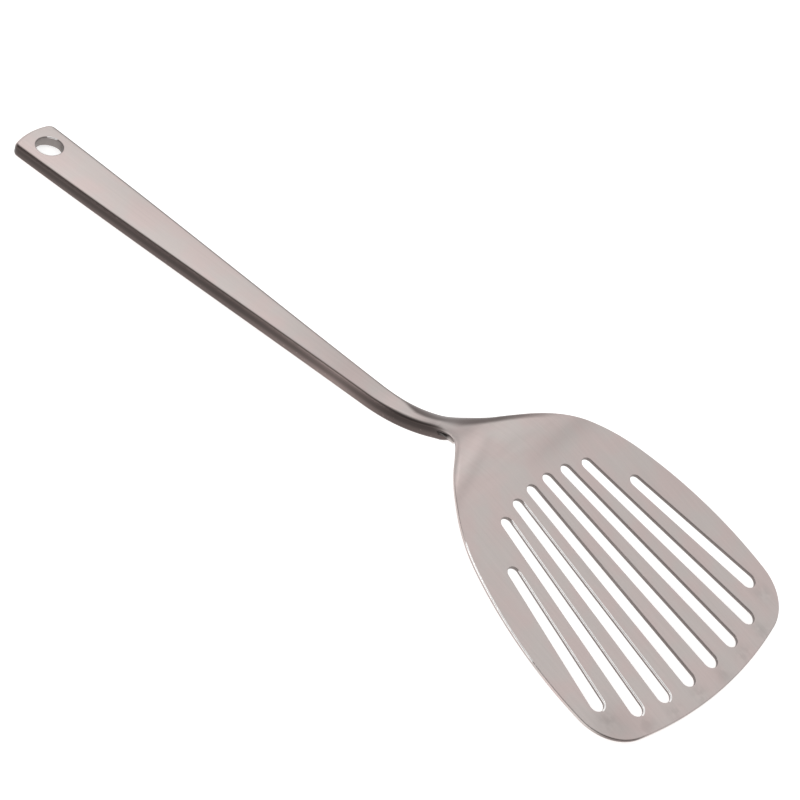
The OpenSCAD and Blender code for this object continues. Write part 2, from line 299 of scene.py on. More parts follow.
@dataclass(frozen=True)
class BladePlan:
    """Plan of the blade, square to its flat face, with the bend line at x = 0."""

    length: float = BLADE_LEN
    width: float = 106.5
    widest_at: float = 65.0
    front_r: float = 160.0
    corner_r: float = 19.0
    side_r: float = 150.0
    shoulder_r: float = 63.0
    shoulder_slope: float = math.radians(18.5)
    flare_slope: float = math.radians(57.5)
    flare_r: float = 16.0
    neck_w: float = 7.8
    fine: int = 700

    @property
    def front_c(self) -> Array:
        """Centre of the front edge's arc."""
        return np.array([self.length - self.front_r, 0.0])

    @property
    def side_c(self) -> Array:
        """Centre of a long side's arc."""
        return np.array([self.widest_at, self.width / 2.0 - self.side_r])

    @property
    def shoulder_c(self) -> Array:
        """Centre of the shoulder's arc, which touches the side's arc from inside."""
        return self.side_c + (self.side_r - self.shoulder_r) * normal(self.shoulder_slope)

    @property
    def corner_c(self) -> Array:
        """Centre of the corner's arc: where two circles meet, each the radii's difference away."""
        span = self.side_c - self.front_c
        far = float(np.linalg.norm(span))
        to_front, to_side = self.front_r - self.corner_r, self.side_r - self.corner_r
        along = (to_front**2 - to_side**2 + far**2) / (2.0 * far)
        off = math.sqrt(to_front**2 - along**2)
        return self.front_c + (along * span + off * np.array([-span[1], span[0]])) / far

    def half(self, x: Array) -> Array:
        """Half the width of the root and the neck: neck, hollow arc, straight flare, shoulder arc."""
        slope = self.flare_slope
        flare = self.shoulder_c + self.shoulder_r * normal(slope)
        neck = self.neck_w / 2.0
        hollow_y = neck + self.flare_r
        hollow_x = flare[0] + (
            (hollow_y - flare[1]) * math.cos(slope) - self.flare_r
        ) / math.sin(slope)
        hollow_end = hollow_x + self.flare_r * math.sin(slope)
        dx = x - hollow_x
        hollow = hollow_y - np.sqrt(np.clip(self.flare_r**2 - dx * dx, 0.0, None))
        line = flare[1] - (flare[0] - x) * math.tan(slope)
        from_c = x - self.shoulder_c[0]
        shoulder = self.shoulder_c[1] + np.sqrt(np.clip(self.shoulder_r**2 - from_c**2, 0.0, None))
        masks = [x <= hollow_x, x <= hollow_end, x <= flare[0]]
        return np.select(masks, [np.full_like(x, neck), hollow, line], default=shoulder)

    def _arc(self, centre: Array, radius: float, start: float, stop: float) -> Array:
        """Fine points of an arc, without its last one: centre plus radius times direction."""
        angles = np.linspace(start, stop, self.fine, endpoint=False)
        return centre + radius * direction(angles)

    def outline(self) -> tuple[Array, int]:
        """Fine +Y outline from the bend line to the middle of the front.

        Returns:
            The points, and the index at which the front corner starts.
        """
        side_angle = QUARTER + self.shoulder_slope
        start = QUARTER + math.asin(self.shoulder_c[0] / self.shoulder_r)
        to_side = math.atan2(*(self.corner_c - self.side_c)[::-1])
        to_front = math.atan2(*(self.corner_c - self.front_c)[::-1])
        parts = [
            self._arc(self.shoulder_c, self.shoulder_r, start, side_angle),
            self._arc(self.side_c, self.side_r, side_angle, to_side),
            self._arc(self.corner_c, self.corner_r, to_side, to_front),
            self._arc(self.front_c, self.front_r, to_front, 0.0),
            np.array([[self.length, 0.0]]),
        ]
        return np.concatenate(parts), 2 * self.fine


@dataclass(frozen=True)
class Band:
    """A band of painted shade beside an edge; each stop is a place s and its width, softness and
    darkness.
    """

    stops: tuple[tuple[float, float, float, float], ...]

    def at(self, s: Array, inset: Array) -> Array:
        """Darkness at a distance in from the edge.

        Between the stops all three run straight. It is dark ease((width + soft - inset) / 2 soft).
        """
        places, *measures = np.array(self.stops).T
        wide, soft, dark = (np.interp(s, places, measure) for measure in measures)
        return dark * ease((wide + soft - inset) / (2.0 * soft))


@dataclass(frozen=True)
class EdgeShade:
    """Shade painted on the face beside its edges, from the handle's end to the root.

    The far edge turns away from the lamps: a thin line on the bar, and a broad band on the neck and
    the root. The near edge has a narrow band that ends on the root, and its wall stays dark a little
    longer.
    """

    far: Band = Band((
        (-62.0, 1.1, 0.4, 1.0), (-57.0, 1.4, 0.5, 0.8), (-54.0, 2.0, 0.7, 0.72),
        (-51.0, 3.2, 0.8, 0.82), (-48.0, 4.2, 0.85, 0.86), (-44.0, 4.55, 0.85, 0.86),
        (-37.0, 4.8, 1.0, 0.86), (-32.0, 6.4, 2.0, 0.85), (-28.0, 7.6, 2.2, 0.85),
        (-24.0, 6.8, 1.9, 0.85), (-20.0, 6.3, 1.6, 0.85), (-16.0, 5.4, 1.5, 0.72),
        (-13.0, 4.6, 1.3, 0.5), (-9.0, 3.5, 1.2, 0.1), (-6.0, 3.0, 1.0, 0.0)))
    near: Band = Band((
        (-38.0, 1.0, 0.55, 1.0), (-36.0, 0.95, 0.55, 0.95), (-34.0, 0.75, 0.55, 0.8),
        (-32.0, 0.5, 0.55, 0.55), (-30.0, 0.3, 0.55, 0.25), (-28.0, 0.2, 0.55, 0.0)))
    lit_rim_s: Span = (-24.0, -17.0)
    lit_rim_w: float = 1.8
    wall_stops: Shades = ((-33.0, 1.0), (-31.0, 0.8), (-28.0, 0.45), (-24.0, 0.3), (-20.0, 0.0))
    bead_end: float = -27.6
    bead_run: float = 3.4

    def at(self, s: Array, y: Array, half: Array) -> Array:
        """Painted darkness of the visible face.

        Args:
            s: Length along the middle line.
            y: Place across, positive on the far side.
            half: Half the width there.

        Returns:
            The larger of the two bands. On the root the far one leaves a lighter rim.
        """
        far = self.far.at(s, half - y)
        far *= 1.0 - rise(s, *self.lit_rim_s) * ease(1.0 - (half - y) / self.lit_rim_w)
        return np.maximum(far, self.near.at(s, half + y))

    def wall(self, s: Array) -> Array:
        """Painted darkness of the side wall under the near edge."""
        return np.interp(s, *zip(*self.wall_stops))

    def bead(self, s: Array) -> Array:
        """Painted darkness of the weld: as dark as the bar's, and easing to its own colour ahead."""
        return ease((self.bead_end - s) / self.bead_run)


@dataclass
class Patch:
    """A grid of developed points of shape (rows, columns, 3), with its masks."""

    lay: Array
    masks: dict[Mask, Array]


@dataclass
class SteelPiece:
    """A piece drawn as patches in developed coordinates and sewn into one closed mesh.

    Its sizes are those that the pieces share where they meet.
    """

    side: SideView = SideView()
    posture: Posture = Posture()
    plan: BladePlan = BladePlan()
    shade: EdgeShade = EdgeShade()
    patches: list[Patch] = field(default_factory=list)
    sheet_t: float = SHEET_T
    lap_gap: float = 0.02
    roll_drop: float = 0.7
    roll_w: float = 3.2
    rim_r: float = 0.3
    tongue_len: float = 13.0
    nose_ratio: float = 1.1

    def root_half(self, u: Array) -> Array:
        """Half the width of the root, and of the neck, at a length back from the bend line."""
        return self.plan.half(self.side.path(u)[0])

    def roll(self, u: Array, y: Array) -> Array:
        """Depth of the root's rolled edges.

        It is drop t^2, where t goes from 0 to 1 over the roll's width and is 1 at the edge.
        """
        t = np.clip((np.abs(y) - self.root_half(u)) / self.roll_w + 1.0, 0.0, 1.0)
        return self.roll_drop * t * t

    def add(self, lay: Array, **masks: float | Array) -> None:
        """Adds a patch.

        Args:
            lay: Developed points, shape (rows, columns, 3).
            masks: A number, or one per point, for each mask by its name: cut on cut walls, painted
            shade on the bar's sides, which reflect dark surroundings, and beside edges that turn away
            from the lamps, painted highlights on bright rims, painted shade at small dimples, and
            painted shading on the root's creases and the near front corner, a painted highlight below 0.
        """
        grids = {
            mask: np.broadcast_to(masks.get(mask.value, 0.0), lay.shape[:2]).astype(float)
            for mask in Mask
        }
        self.patches.append(Patch(lay, grids))

    def add_wall(self, upper: Array, lower: Array, **masks: float | Array) -> None:
        """Adds the wall between two lines of developed points, in three rows of squares."""
        self.add(mix(upper[None], lower[None], WALL_WAY), **masks)

    def sew(self, name: str, material: bpy.types.Material) -> bpy.types.Object:
        """Puts the patches into one mesh, merges their seams and turns the faces outward.

        Every grid square (i, j) gives the face (i, j), (i + 1, j), (i + 1, j + 1), (i, j + 1).

        Args:
            name: Name of the piece.
            material: Its finish.

        Returns:
            The new object, at the origin, with its place in its mesh.
        """
        points, faces, start = [], [], 0
        for patch in self.patches:
            rows, columns = patch.lay.shape[:2]
            index = np.arange(rows * columns).reshape(rows, columns) + start
            quads = [index[:-1, :-1], index[1:, :-1], index[1:, 1:], index[:-1, 1:]]
            faces.append(np.stack(quads, axis=-1).reshape(-1, 4))
            points.append(patch.lay.reshape(-1, 3))
            start += rows * columns
        lay = np.concatenate(points)
        placed = self.posture.place(self.side.bend(lay), self.side)
        mesh = bpy.data.meshes.new(name)
        mesh.from_pydata(placed.tolist(), [], np.concatenate(faces).tolist())
        self._store(mesh, LAY, "FLOAT_VECTOR", "vector", lay * MM)
        for mask in Mask:
            values = np.concatenate([patch.masks[mask].reshape(-1) for patch in self.patches])
            self._store(mesh, mask.value, "FLOAT", "value", values)
        self._close(mesh)
        mesh.polygons.foreach_set("use_smooth", np.ones(len(mesh.polygons), dtype=bool))
        mesh.set_sharp_from_angle(angle=SHARP_ANGLE)
        mesh.materials.append(material)
        return put(name, mesh)

    @staticmethod
    def _store(mesh: bpy.types.Mesh, name: str, kind: str, part: str, values: Array) -> None:
        """Stores one value or vector per vertex on the mesh."""
        layer = mesh.attributes.new(name, kind, "POINT")
        layer.data.foreach_set(part, np.ascontiguousarray(values, dtype=np.float32).ravel())

    @staticmethod
    def _close(mesh: bpy.types.Mesh) -> None:
        """Merges doubled seam points, drops the faces that vanish, and turns the rest outward."""
        work = bmesh.new()
        work.from_mesh(mesh)
        bmesh.ops.remove_doubles(work, verts=work.verts[:], dist=MERGE_GAP)
        bmesh.ops.dissolve_degenerate(work, dist=MERGE_GAP / 2.0, edges=work.edges[:])
        bmesh.ops.recalc_face_normals(work, faces=work.faces[:])
        open_edges = sum(1 for edge in work.edges if len(edge.link_faces) != 2)
        work.to_mesh(mesh)
        work.free()
        log.info("%s: %d faces, %d open edges", mesh.name, len(mesh.polygons), open_edges)


@dataclass
class SlotFan:
    """Eight tapered slots that fan out from a point behind the blade."""

    pairs: int = 4
    pitch: float = math.radians(3.02)
    back: float = 158.0
    back_w: float = 4.5
    front_w: float = 5.7
    start: float = 5.0
    start_r: float = 66.0
    front_gap: float = 6.8
    outer_start_extra: float = 10.0
    outer_front_extra: float = 6.0
    end_steps: int = 16
    side_steps: int = 60
    border_back: tuple[float, ...] = (160.7, 161.1, 163.2, 168.4, 180.0)
    border_front: tuple[float, ...] = (251.0, 250.8, 250.0, 248.2, 236.5)
    outer_back_angle: float = math.radians(11.7)
    outer_share: Array = field(default_factory=lambda: np.linspace(0.0, 1.0, 61))

    def reach(self, centre_x: float, radius: float, angle: float, way: int) -> float:
        """Distance from the fan's point to a circle about (centre_x, 0), in one direction.

        It is d cos a + way sqrt(r^2 - (d sin a)^2), where d is the centre's distance.
        """
        d = centre_x + self.back
        return d * math.cos(angle) + way * math.sqrt(radius**2 - (d * math.sin(angle)) ** 2)

    def in_plan(self, angle: Array, distance: Array) -> Array:
        """Plan places of polar ones about the fan's point."""
        spots = direction(angle) * np.asarray(distance)[..., None]
        return spots - np.array([self.back, 0.0])

    def slot(self, index: int, plan: BladePlan) -> Triple:
        """Direction of a slot and the distances of its two round ends' centres."""
        angle = self.pitch * (index + 0.5)
        place = index if index >= 0 else -index - 1
        outermost = float(place == self.pairs - 1)
        back = self.reach(self.start + self.start_r, self.start_r, angle, -1) + self.back_w / 2.0
        tip = self.reach(float(plan.front_c[0]), plan.front_r, angle, 1) - self.front_w / 2.0
        return (
            angle,
            back + outermost * self.outer_start_extra,
            tip - self.front_gap - outermost * self.outer_front_extra,
        )

    def rim(self, index: int, plan: BladePlan, offset: float) -> Array:
        """Closed line round a slot at a distance outside its edge.

        Two arcs, one about each end's centre, with straight tangents between them. It runs up the
        +Y side, round the front end, down the -Y side and round the back end.
        """
        angle, back, tip = self.slot(index, plan)
        back_r, tip_r = self.back_w / 2.0, self.front_w / 2.0
        spread = math.asin((tip_r - back_r) / (tip - back))
        back_c, tip_c = (self.in_plan(np.array(angle), np.array(d)) for d in (back, tip))
        front, rear = angle - QUARTER - spread, angle - 3.0 * QUARTER + spread
        tip_angles = np.linspace(angle + QUARTER + spread, front, self.end_steps + 1)
        back_angles = np.linspace(front, rear, self.end_steps + 1)
        tip_arc = tip_c + (tip_r + offset) * direction(tip_angles)
        back_arc = back_c + (back_r + offset) * direction(back_angles)
        f = np.linspace(0.0, 1.0, self.side_steps + 1)[:, None]
        up, down = mix(back_arc[-1], tip_arc[0], f), mix(tip_arc[-1], back_arc[0], f)
        return ring(up, tip_arc, down, back_arc)

    def _corners(self, cell: Array, distances: tuple[float, ...], outer: float) -> Array:
        """Plan places of a border at cell numbers, straight in angle and distance between cells.

        Args:
            cell: Numbers of the cells' edges, 0 in the middle, with parts of a cell in between.
            distances: Distances of the border at the edges 0, 1, 2 and so on.
            outer: Angle of the outermost edge.

        Returns:
            The places.
        """
        edges = np.arange(self.pairs + 1)
        angles = np.append(edges[:-1] * self.pitch, outer)
        away = np.abs(cell)
        return self.in_plan(np.sign(cell) * np.interp(away, edges, angles),
                            np.interp(away, edges, distances))

    def border(self, low: int, high: int) -> Array:
        """Closed line round the cells from one edge to another, in the order of rim().

        The sides are straight lines between the corners. The outermost ones are divided as the
        blade's long sides are, and the others evenly.
        """
        sweep = np.linspace(high, low, self.end_steps * (high - low) + 1)
        front = self._corners(sweep, self.border_front, self.pairs * self.pitch)
        rear = self._corners(sweep[::-1], self.border_back, self.outer_back_angle)
        even = np.linspace(0.0, 1.0, self.side_steps + 1)
        high_share, low_share = (
            self.outer_share if abs(edge) == self.pairs else even for edge in (high, low)
        )
        up = mix(rear[-1], front[0], high_share[:, None])
        down = mix(rear[0], front[-1], low_share[::-1, None])
        return ring(up, front, down, rear)


@dataclass
class Blade(SteelPiece):
    """The slotted blade with its bent root, rolled at its edges, and its tang."""

    fan: SlotFan = field(default_factory=SlotFan)
    slot_rim_r: float = 0.26
    roll_share: float = 0.6
    split_u: float = 0.9
    root_rows: int = 64
    round_steps: int = 4
    apron_rows: int = 6
    turn_weight: float = 30.0
    length_weight: float = 0.15
    cut_share: float = 0.5
    # Shade painted on cut walls and on the unlit parts of the slots' rims
    rim_shade: float = 0.4
    wall_fade: tuple[float, ...] = (1.0, 1.0, 0.8, 0.0)
    # Where highlights are painted on the rims: their bands, stretches and flecks
    rim_band: Span = (0.52, 0.25)
    slot_glint_band: Span = (0.62, 0.24)
    rim_glint_s: tuple[float, float, float, float] = (4.0, 12.0, 46.0, 58.0)
    corner_shade: float = 0.8
    corner_y: Span = (-34.0, -42.0)
    corner_from: Span = (76.0, 86.0)
    dull_corner: Triple = (85.0, -43.0, 9.0)
    glint_y: Span = (-7.0, -13.0)
    fleck: float = 0.52
    fleck_at: Span = (44.0, 3.0)
    fleck_size: Span = (20.0, 9.0)
    # Shading painted on the root's creases, a painted highlight on the near ridge, and a painted shade
    # spot in the near corner
    crease_from: float = -16.0
    crease_lean: float = 0.36
    crease_w: float = 2.0
    crease_tone: float = 0.7
    ridge_behind: float = 4.2
    ridge_tone: float = 0.35
    far_crease_s: float = -2.0
    far_crease_w: float = 4.5
    far_crease_tone: float = 0.85
    far_crease_y: Span = (-6.0, 20.0)
    # Shade painted at small dimples in front of the slots' tips
    smudge_ahead: float = 3.6
    smudge_size: float = 3.4
    inset_rows: tuple[float, ...] = (3.3, 2.7, 2.1, 1.5, 1.0, 0.65, 0.42)
    slot_offset_rows: tuple[float, ...] = (0.95, 0.6, 0.38)

    def face_depth(self, s: Array, y: Array) -> Array:
        """Depth of the visible face: 0 on the flat, and the roll eases in along the root."""
        u = np.clip(-s, 0.0, None)
        return ease(u / (self.roll_share * self.side.root_len)) * self.roll(u, y)

    def _rolled(self, plan: Array) -> Array:
        """Shade painted on the face beside the root's edges."""
        s, y = plan[..., 0], plan[..., 1]
        return self.shade.at(s, y, self.root_half(np.clip(-s, 0.0, None)))

    def _tone(self, plan: Array) -> Array:
        """Shading painted along the bend's soft creases: exponentials of minus the squared distance to a
        line.

        The near crease's painted shade leans forward with the distance from the middle, with a painted
        highlight on the ridge behind it, and the far crease runs straight across where the root's bend
        begins. A round spot of painted shade in the near front corner is added.
        """
        s, y = plan[..., 0], plan[..., 1]
        behind = s - self.crease_from - self.crease_lean * np.abs(y)
        near = self.crease_tone * np.exp(-((behind / self.crease_w) ** 2))
        near -= self.ridge_tone * np.exp(-(((behind + self.ridge_behind) / self.crease_w) ** 2))
        far = self.far_crease_tone * np.exp(-(((s - self.far_crease_s) / self.far_crease_w) ** 2))
        far *= rise(y, *self.far_crease_y)
        corner_s, corner_y, size = self.dull_corner
        dull = np.exp(-((s - corner_s) ** 2 + (y - corner_y) ** 2) / size**2)
        return mix(far, near, ease(0.5 - y / (4.0 * self.crease_w))) + dull

    def _corner(self, plan: Array) -> Array:
        """Shade painted on the rim round the near front corner, which turns away from the lamps."""
        s, y = plan[..., 0], plan[..., 1]
        return self.corner_shade * rise(s, *self.corner_from) * rise(y, *self.corner_y)

    def _rim_glint(self, plan: Array) -> Array:
        """Highlight painted on the near long side's rim: a stretch of it, which eases in and out."""
        s, y = plan[..., 0], plan[..., 1]
        start, full, last, end = self.rim_glint_s
        return rise(s, start, full) * rise(s, end, last) * ease(-y / self.plan.corner_r)

    def _slot_glint(self, plan: Array) -> Array:
        """Highlight painted on the slots' rims: bright on the near side, with flecks in the middle."""
        s, y = plan[..., 0], plan[..., 1]
        (fleck_s, fleck_y), (long, wide) = self.fleck_at, self.fleck_size
        away = ((s - fleck_s) / long) ** 2 + ((y - fleck_y) / wide) ** 2
        return np.maximum(rise(y, *self.glint_y), self.fleck * np.exp(-away))

    def _smudge(self, plan: Array) -> Array:
        """Shade painted at small dimples before the slots' tips, each the exponential of minus a square.
        """
        total = np.zeros(plan.shape[:-1])
        for index in range(-self.fan.pairs, self.fan.pairs):
            angle, _, tip = self.fan.slot(index, self.plan)
            reach = tip + self.fan.front_w / 2.0 + self.smudge_ahead
            spot = self.fan.in_plan(np.array(angle), np.array(reach))
            total += np.exp(-np.sum((plan - spot) ** 2, axis=-1) / self.smudge_size**2)
        return np.clip(total, 0.0, 1.0)

    def on_face(self, plan: Array, extra: Array | float = 0.0) -> Array:
        """Developed points on the visible face, or below it by an extra depth."""
        s, y = plan[..., 0], plan[..., 1]
        return lay_points(s, y, self.face_depth(s, y) + extra)

    def on_back(self, plan: Array, extra: Array | float = 0.0) -> Array:
        """Developed points on the hidden face, or above it by an extra height."""
        s, y = plan[..., 0], plan[..., 1]
        return lay_points(s, y, self.face_depth(s, y) + self.sheet_t - extra)

    def _insets(self, rows: tuple[float, ...], radius: float) -> Array:
        """Distances in from an edge: the given rows, then those round the edge."""
        return np.concatenate([rows, round_insets(radius, self.round_steps)])

    def _fan_run(self, part: Array) -> Array:
        """Running measure of the front edge: mostly the fan's angle, and a little length."""
        angle = np.arctan2(part[:, 1], part[:, 0] + self.fan.back)
        swept = np.abs(angle - angle[0]) * (self.fan.back + self.plan.length)
        return swept + self.length_weight * run_along(part, 0.0)

    def _edge(self) -> tuple[Array, Array]:
        """The whole outline and its inward normals, from seam to seam round the front."""
        fine_u = np.linspace(self.side.seam_u - self.lap_gap, 0.0, 4 * self.plan.fine, endpoint=False)
        root = np.stack([-fine_u, self.root_half(fine_u)], axis=-1)
        flat, corner = self.plan.outline()
        line = np.concatenate([root, flat])
        normals = inward_normals(line)
        split = int(np.searchsorted(-fine_u, -self.split_u))
        corner += len(root)
        front_steps = self.fan.end_steps * self.fan.pairs
        cuts = ((0, split, self.root_rows), (split, corner, self.fan.side_steps),
                (corner, len(line) - 1, front_steps))
        points, inward = [], []
        for first, last, count in cuts:
            part = line[first:last + 1]
            run = self._fan_run(part) if first == corner else run_along(part, self.turn_weight)
            taken = resample(part, normals[first:last + 1], run, count)
            points.append(taken[0][:-1])
            inward.append(taken[1][:-1])
        points.append(line[-1:])
        inward.append(normals[-1:])
        return mirrored(np.concatenate(points)), mirrored(np.concatenate(inward))

    def _draw_rim(self) -> tuple[Array, Array, Array]:
        """Draws the outline's rounded edges and its wall.

        Returns:
            The innermost line's plan, and the developed rows of the visible and the hidden edge.
        """
        edge, inward = self._edge()
        insets = self._insets(self.inset_rows, self.rim_r)
        plan = edge[None] + insets[:, None, None] * inward[None]
        extra = round_drop(insets, self.rim_r)[:, None]
        top, bottom = self.on_face(plan, extra), self.on_back(plan, extra)
        outer, soft = self.rim_band
        near_rim = ease((outer - insets) / soft)[:, None]
        # Shade painted beside the edges and round the near front corner, and highlights painted on the
        # near rim
        dark = np.maximum(self._rolled(plan), near_rim * self._corner(plan))
        glint = near_rim * self._rim_glint(plan)
        self.add(top, flank=dark, glint=glint, smudge=self._smudge(plan), tone=self._tone(plan))
        wall_dark = self.shade.wall(plan[-1, :, 0])
        self.add(bottom, flank=ease(1.0 - insets / self.rim_r)[:, None] * wall_dark)
        fade = np.array(self.wall_fade)[:, None]
        sides = np.maximum(np.maximum(dark[-1], self.rim_shade * glint[-1]) * fade, wall_dark)
        sides[0] = dark[-1]
        self.add_wall(top[-1], bottom[-1], flank=sides, glint=glint[-1] * TOP_ROW)
        return plan[0], top, bottom

    def _draw_root(self, inner: Array, top: Array, bottom: Array) -> Array:
        """Draws the root between the sides of the innermost line, and the tang's end at the seam.

        Args:
            inner: The innermost line's plan.
            top: Developed rows of the visible edge.
            bottom: Developed rows of the hidden edge.

        Returns:
            The closed line round the apron.
        """
        rows = self.root_rows
        f = np.linspace(0.0, 1.0, self.fan.end_steps * 2 * self.fan.pairs + 1)[None, :, None]
        root = mix(inner[:rows + 1, None], inner[::-1][:rows + 1, None], f)
        face, back = self.on_face(root), self.on_back(root)
        self.add(face, flank=self._rolled(root), tone=self._tone(root))
        self.add(back)
        upper, lower = (
            np.concatenate([rim[::-1, 0], fill[0, 1:-1], rim[:, -1]])
            for rim, fill in ((top, face), (bottom, back))
        )
        self.add_wall(upper, lower, flank=self._rolled(upper))
        return np.concatenate([inner[rows:-rows - 1], root[-1, ::-1]])

    def _outer_share(self, inner: Array) -> Array:
        """How the blade's long side is divided, as shares of its reach along the outermost edge."""
        ray = direction(np.array(self.fan.pairs * self.fan.pitch))
        reach = inner[self.root_rows:self.root_rows + self.fan.side_steps + 1] @ ray
        return (reach - reach[0]) / (reach[-1] - reach[0])

    def _draw_apron(self, outer: Array) -> None:
        """Draws the flat metal between the slots' cells and the outline, straight between lines."""
        low, high = -self.fan.pairs, self.fan.pairs
        inner = self.fan.border(low, high)
        rows = np.linspace(0.0, 1.0, self.apron_rows + 1)[:, None, None]
        plan = mix(inner[None], outer[None], rows)
        self.add(self.on_face(plan), smudge=self._smudge(plan), tone=self._tone(plan))
        self.add(self.on_back(plan))

    def _draw_slot(self, index: int) -> None:
        """Draws one slot's cell: the bars beside it, its rounded edges and its wall.

        The first two rows are the cell's border and the line halfway to the slot. A highlight is
        painted on the rim along the +Y side and the first half of the front end, which face the camera;
        the rest of the rim and the wall get painted shade.
        """
        radius = self.slot_rim_r
        offsets = self._insets(self.slot_offset_rows, radius)
        rims = np.stack([self.fan.rim(index, self.plan, float(d)) for d in offsets])
        border = self.fan.border(index, index + 1)[None]
        plan = np.concatenate([border, mix(border, rims[:1], 0.5), rims])
        wide, soft = self.slot_glint_band
        drop, cut, rim = (
            np.concatenate([np.zeros(2), values])[:, None]
            for values in (
                round_drop(offsets, radius),
                ease(1.0 - offsets / (self.cut_share * radius)),
                ease((wide - offsets) / soft),
            )
        )
        top, bottom = self.on_face(plan, drop), self.on_back(plan, drop)
        lit = np.arange(plan.shape[1]) < self.fan.side_steps + self.fan.end_steps // 2
        # Highlights painted on the near rims, which the rim softbox also lights, and shade painted on the
        # rest
        glint = rim * self._slot_glint(plan) * lit
        bare = cut * (1.0 - glint)
        dark = self.rim_shade * bare
        self.add(top, cut=bare, flank=dark, glint=glint, smudge=self._smudge(plan), tone=self._tone(plan))
        self.add(bottom, cut=cut)
        below = np.array([0.0, self.rim_shade, self.rim_shade, 0.0])[:, None]
        self.add_wall(top[-1], bottom[-1], cut=1.0 - TOP_ROW * glint[-1],
                      flank=mix(below, dark[-1], TOP_ROW), glint=TOP_ROW * glint[-1])

    def build(self, finish: "SteelFinish") -> bpy.types.Object:
        """Draws and sews the blade, and lets it stand for its solid."""
        inner, top, bottom = self._draw_rim()
        outer = self._draw_root(inner, top, bottom)
        self.fan.outer_share = self._outer_share(inner)
        self._draw_apron(outer)
        for index in range(-self.fan.pairs, self.fan.pairs):
            self._draw_slot(index)
        return enter(self.sew("slotted_blade", finish.material()), "blade")


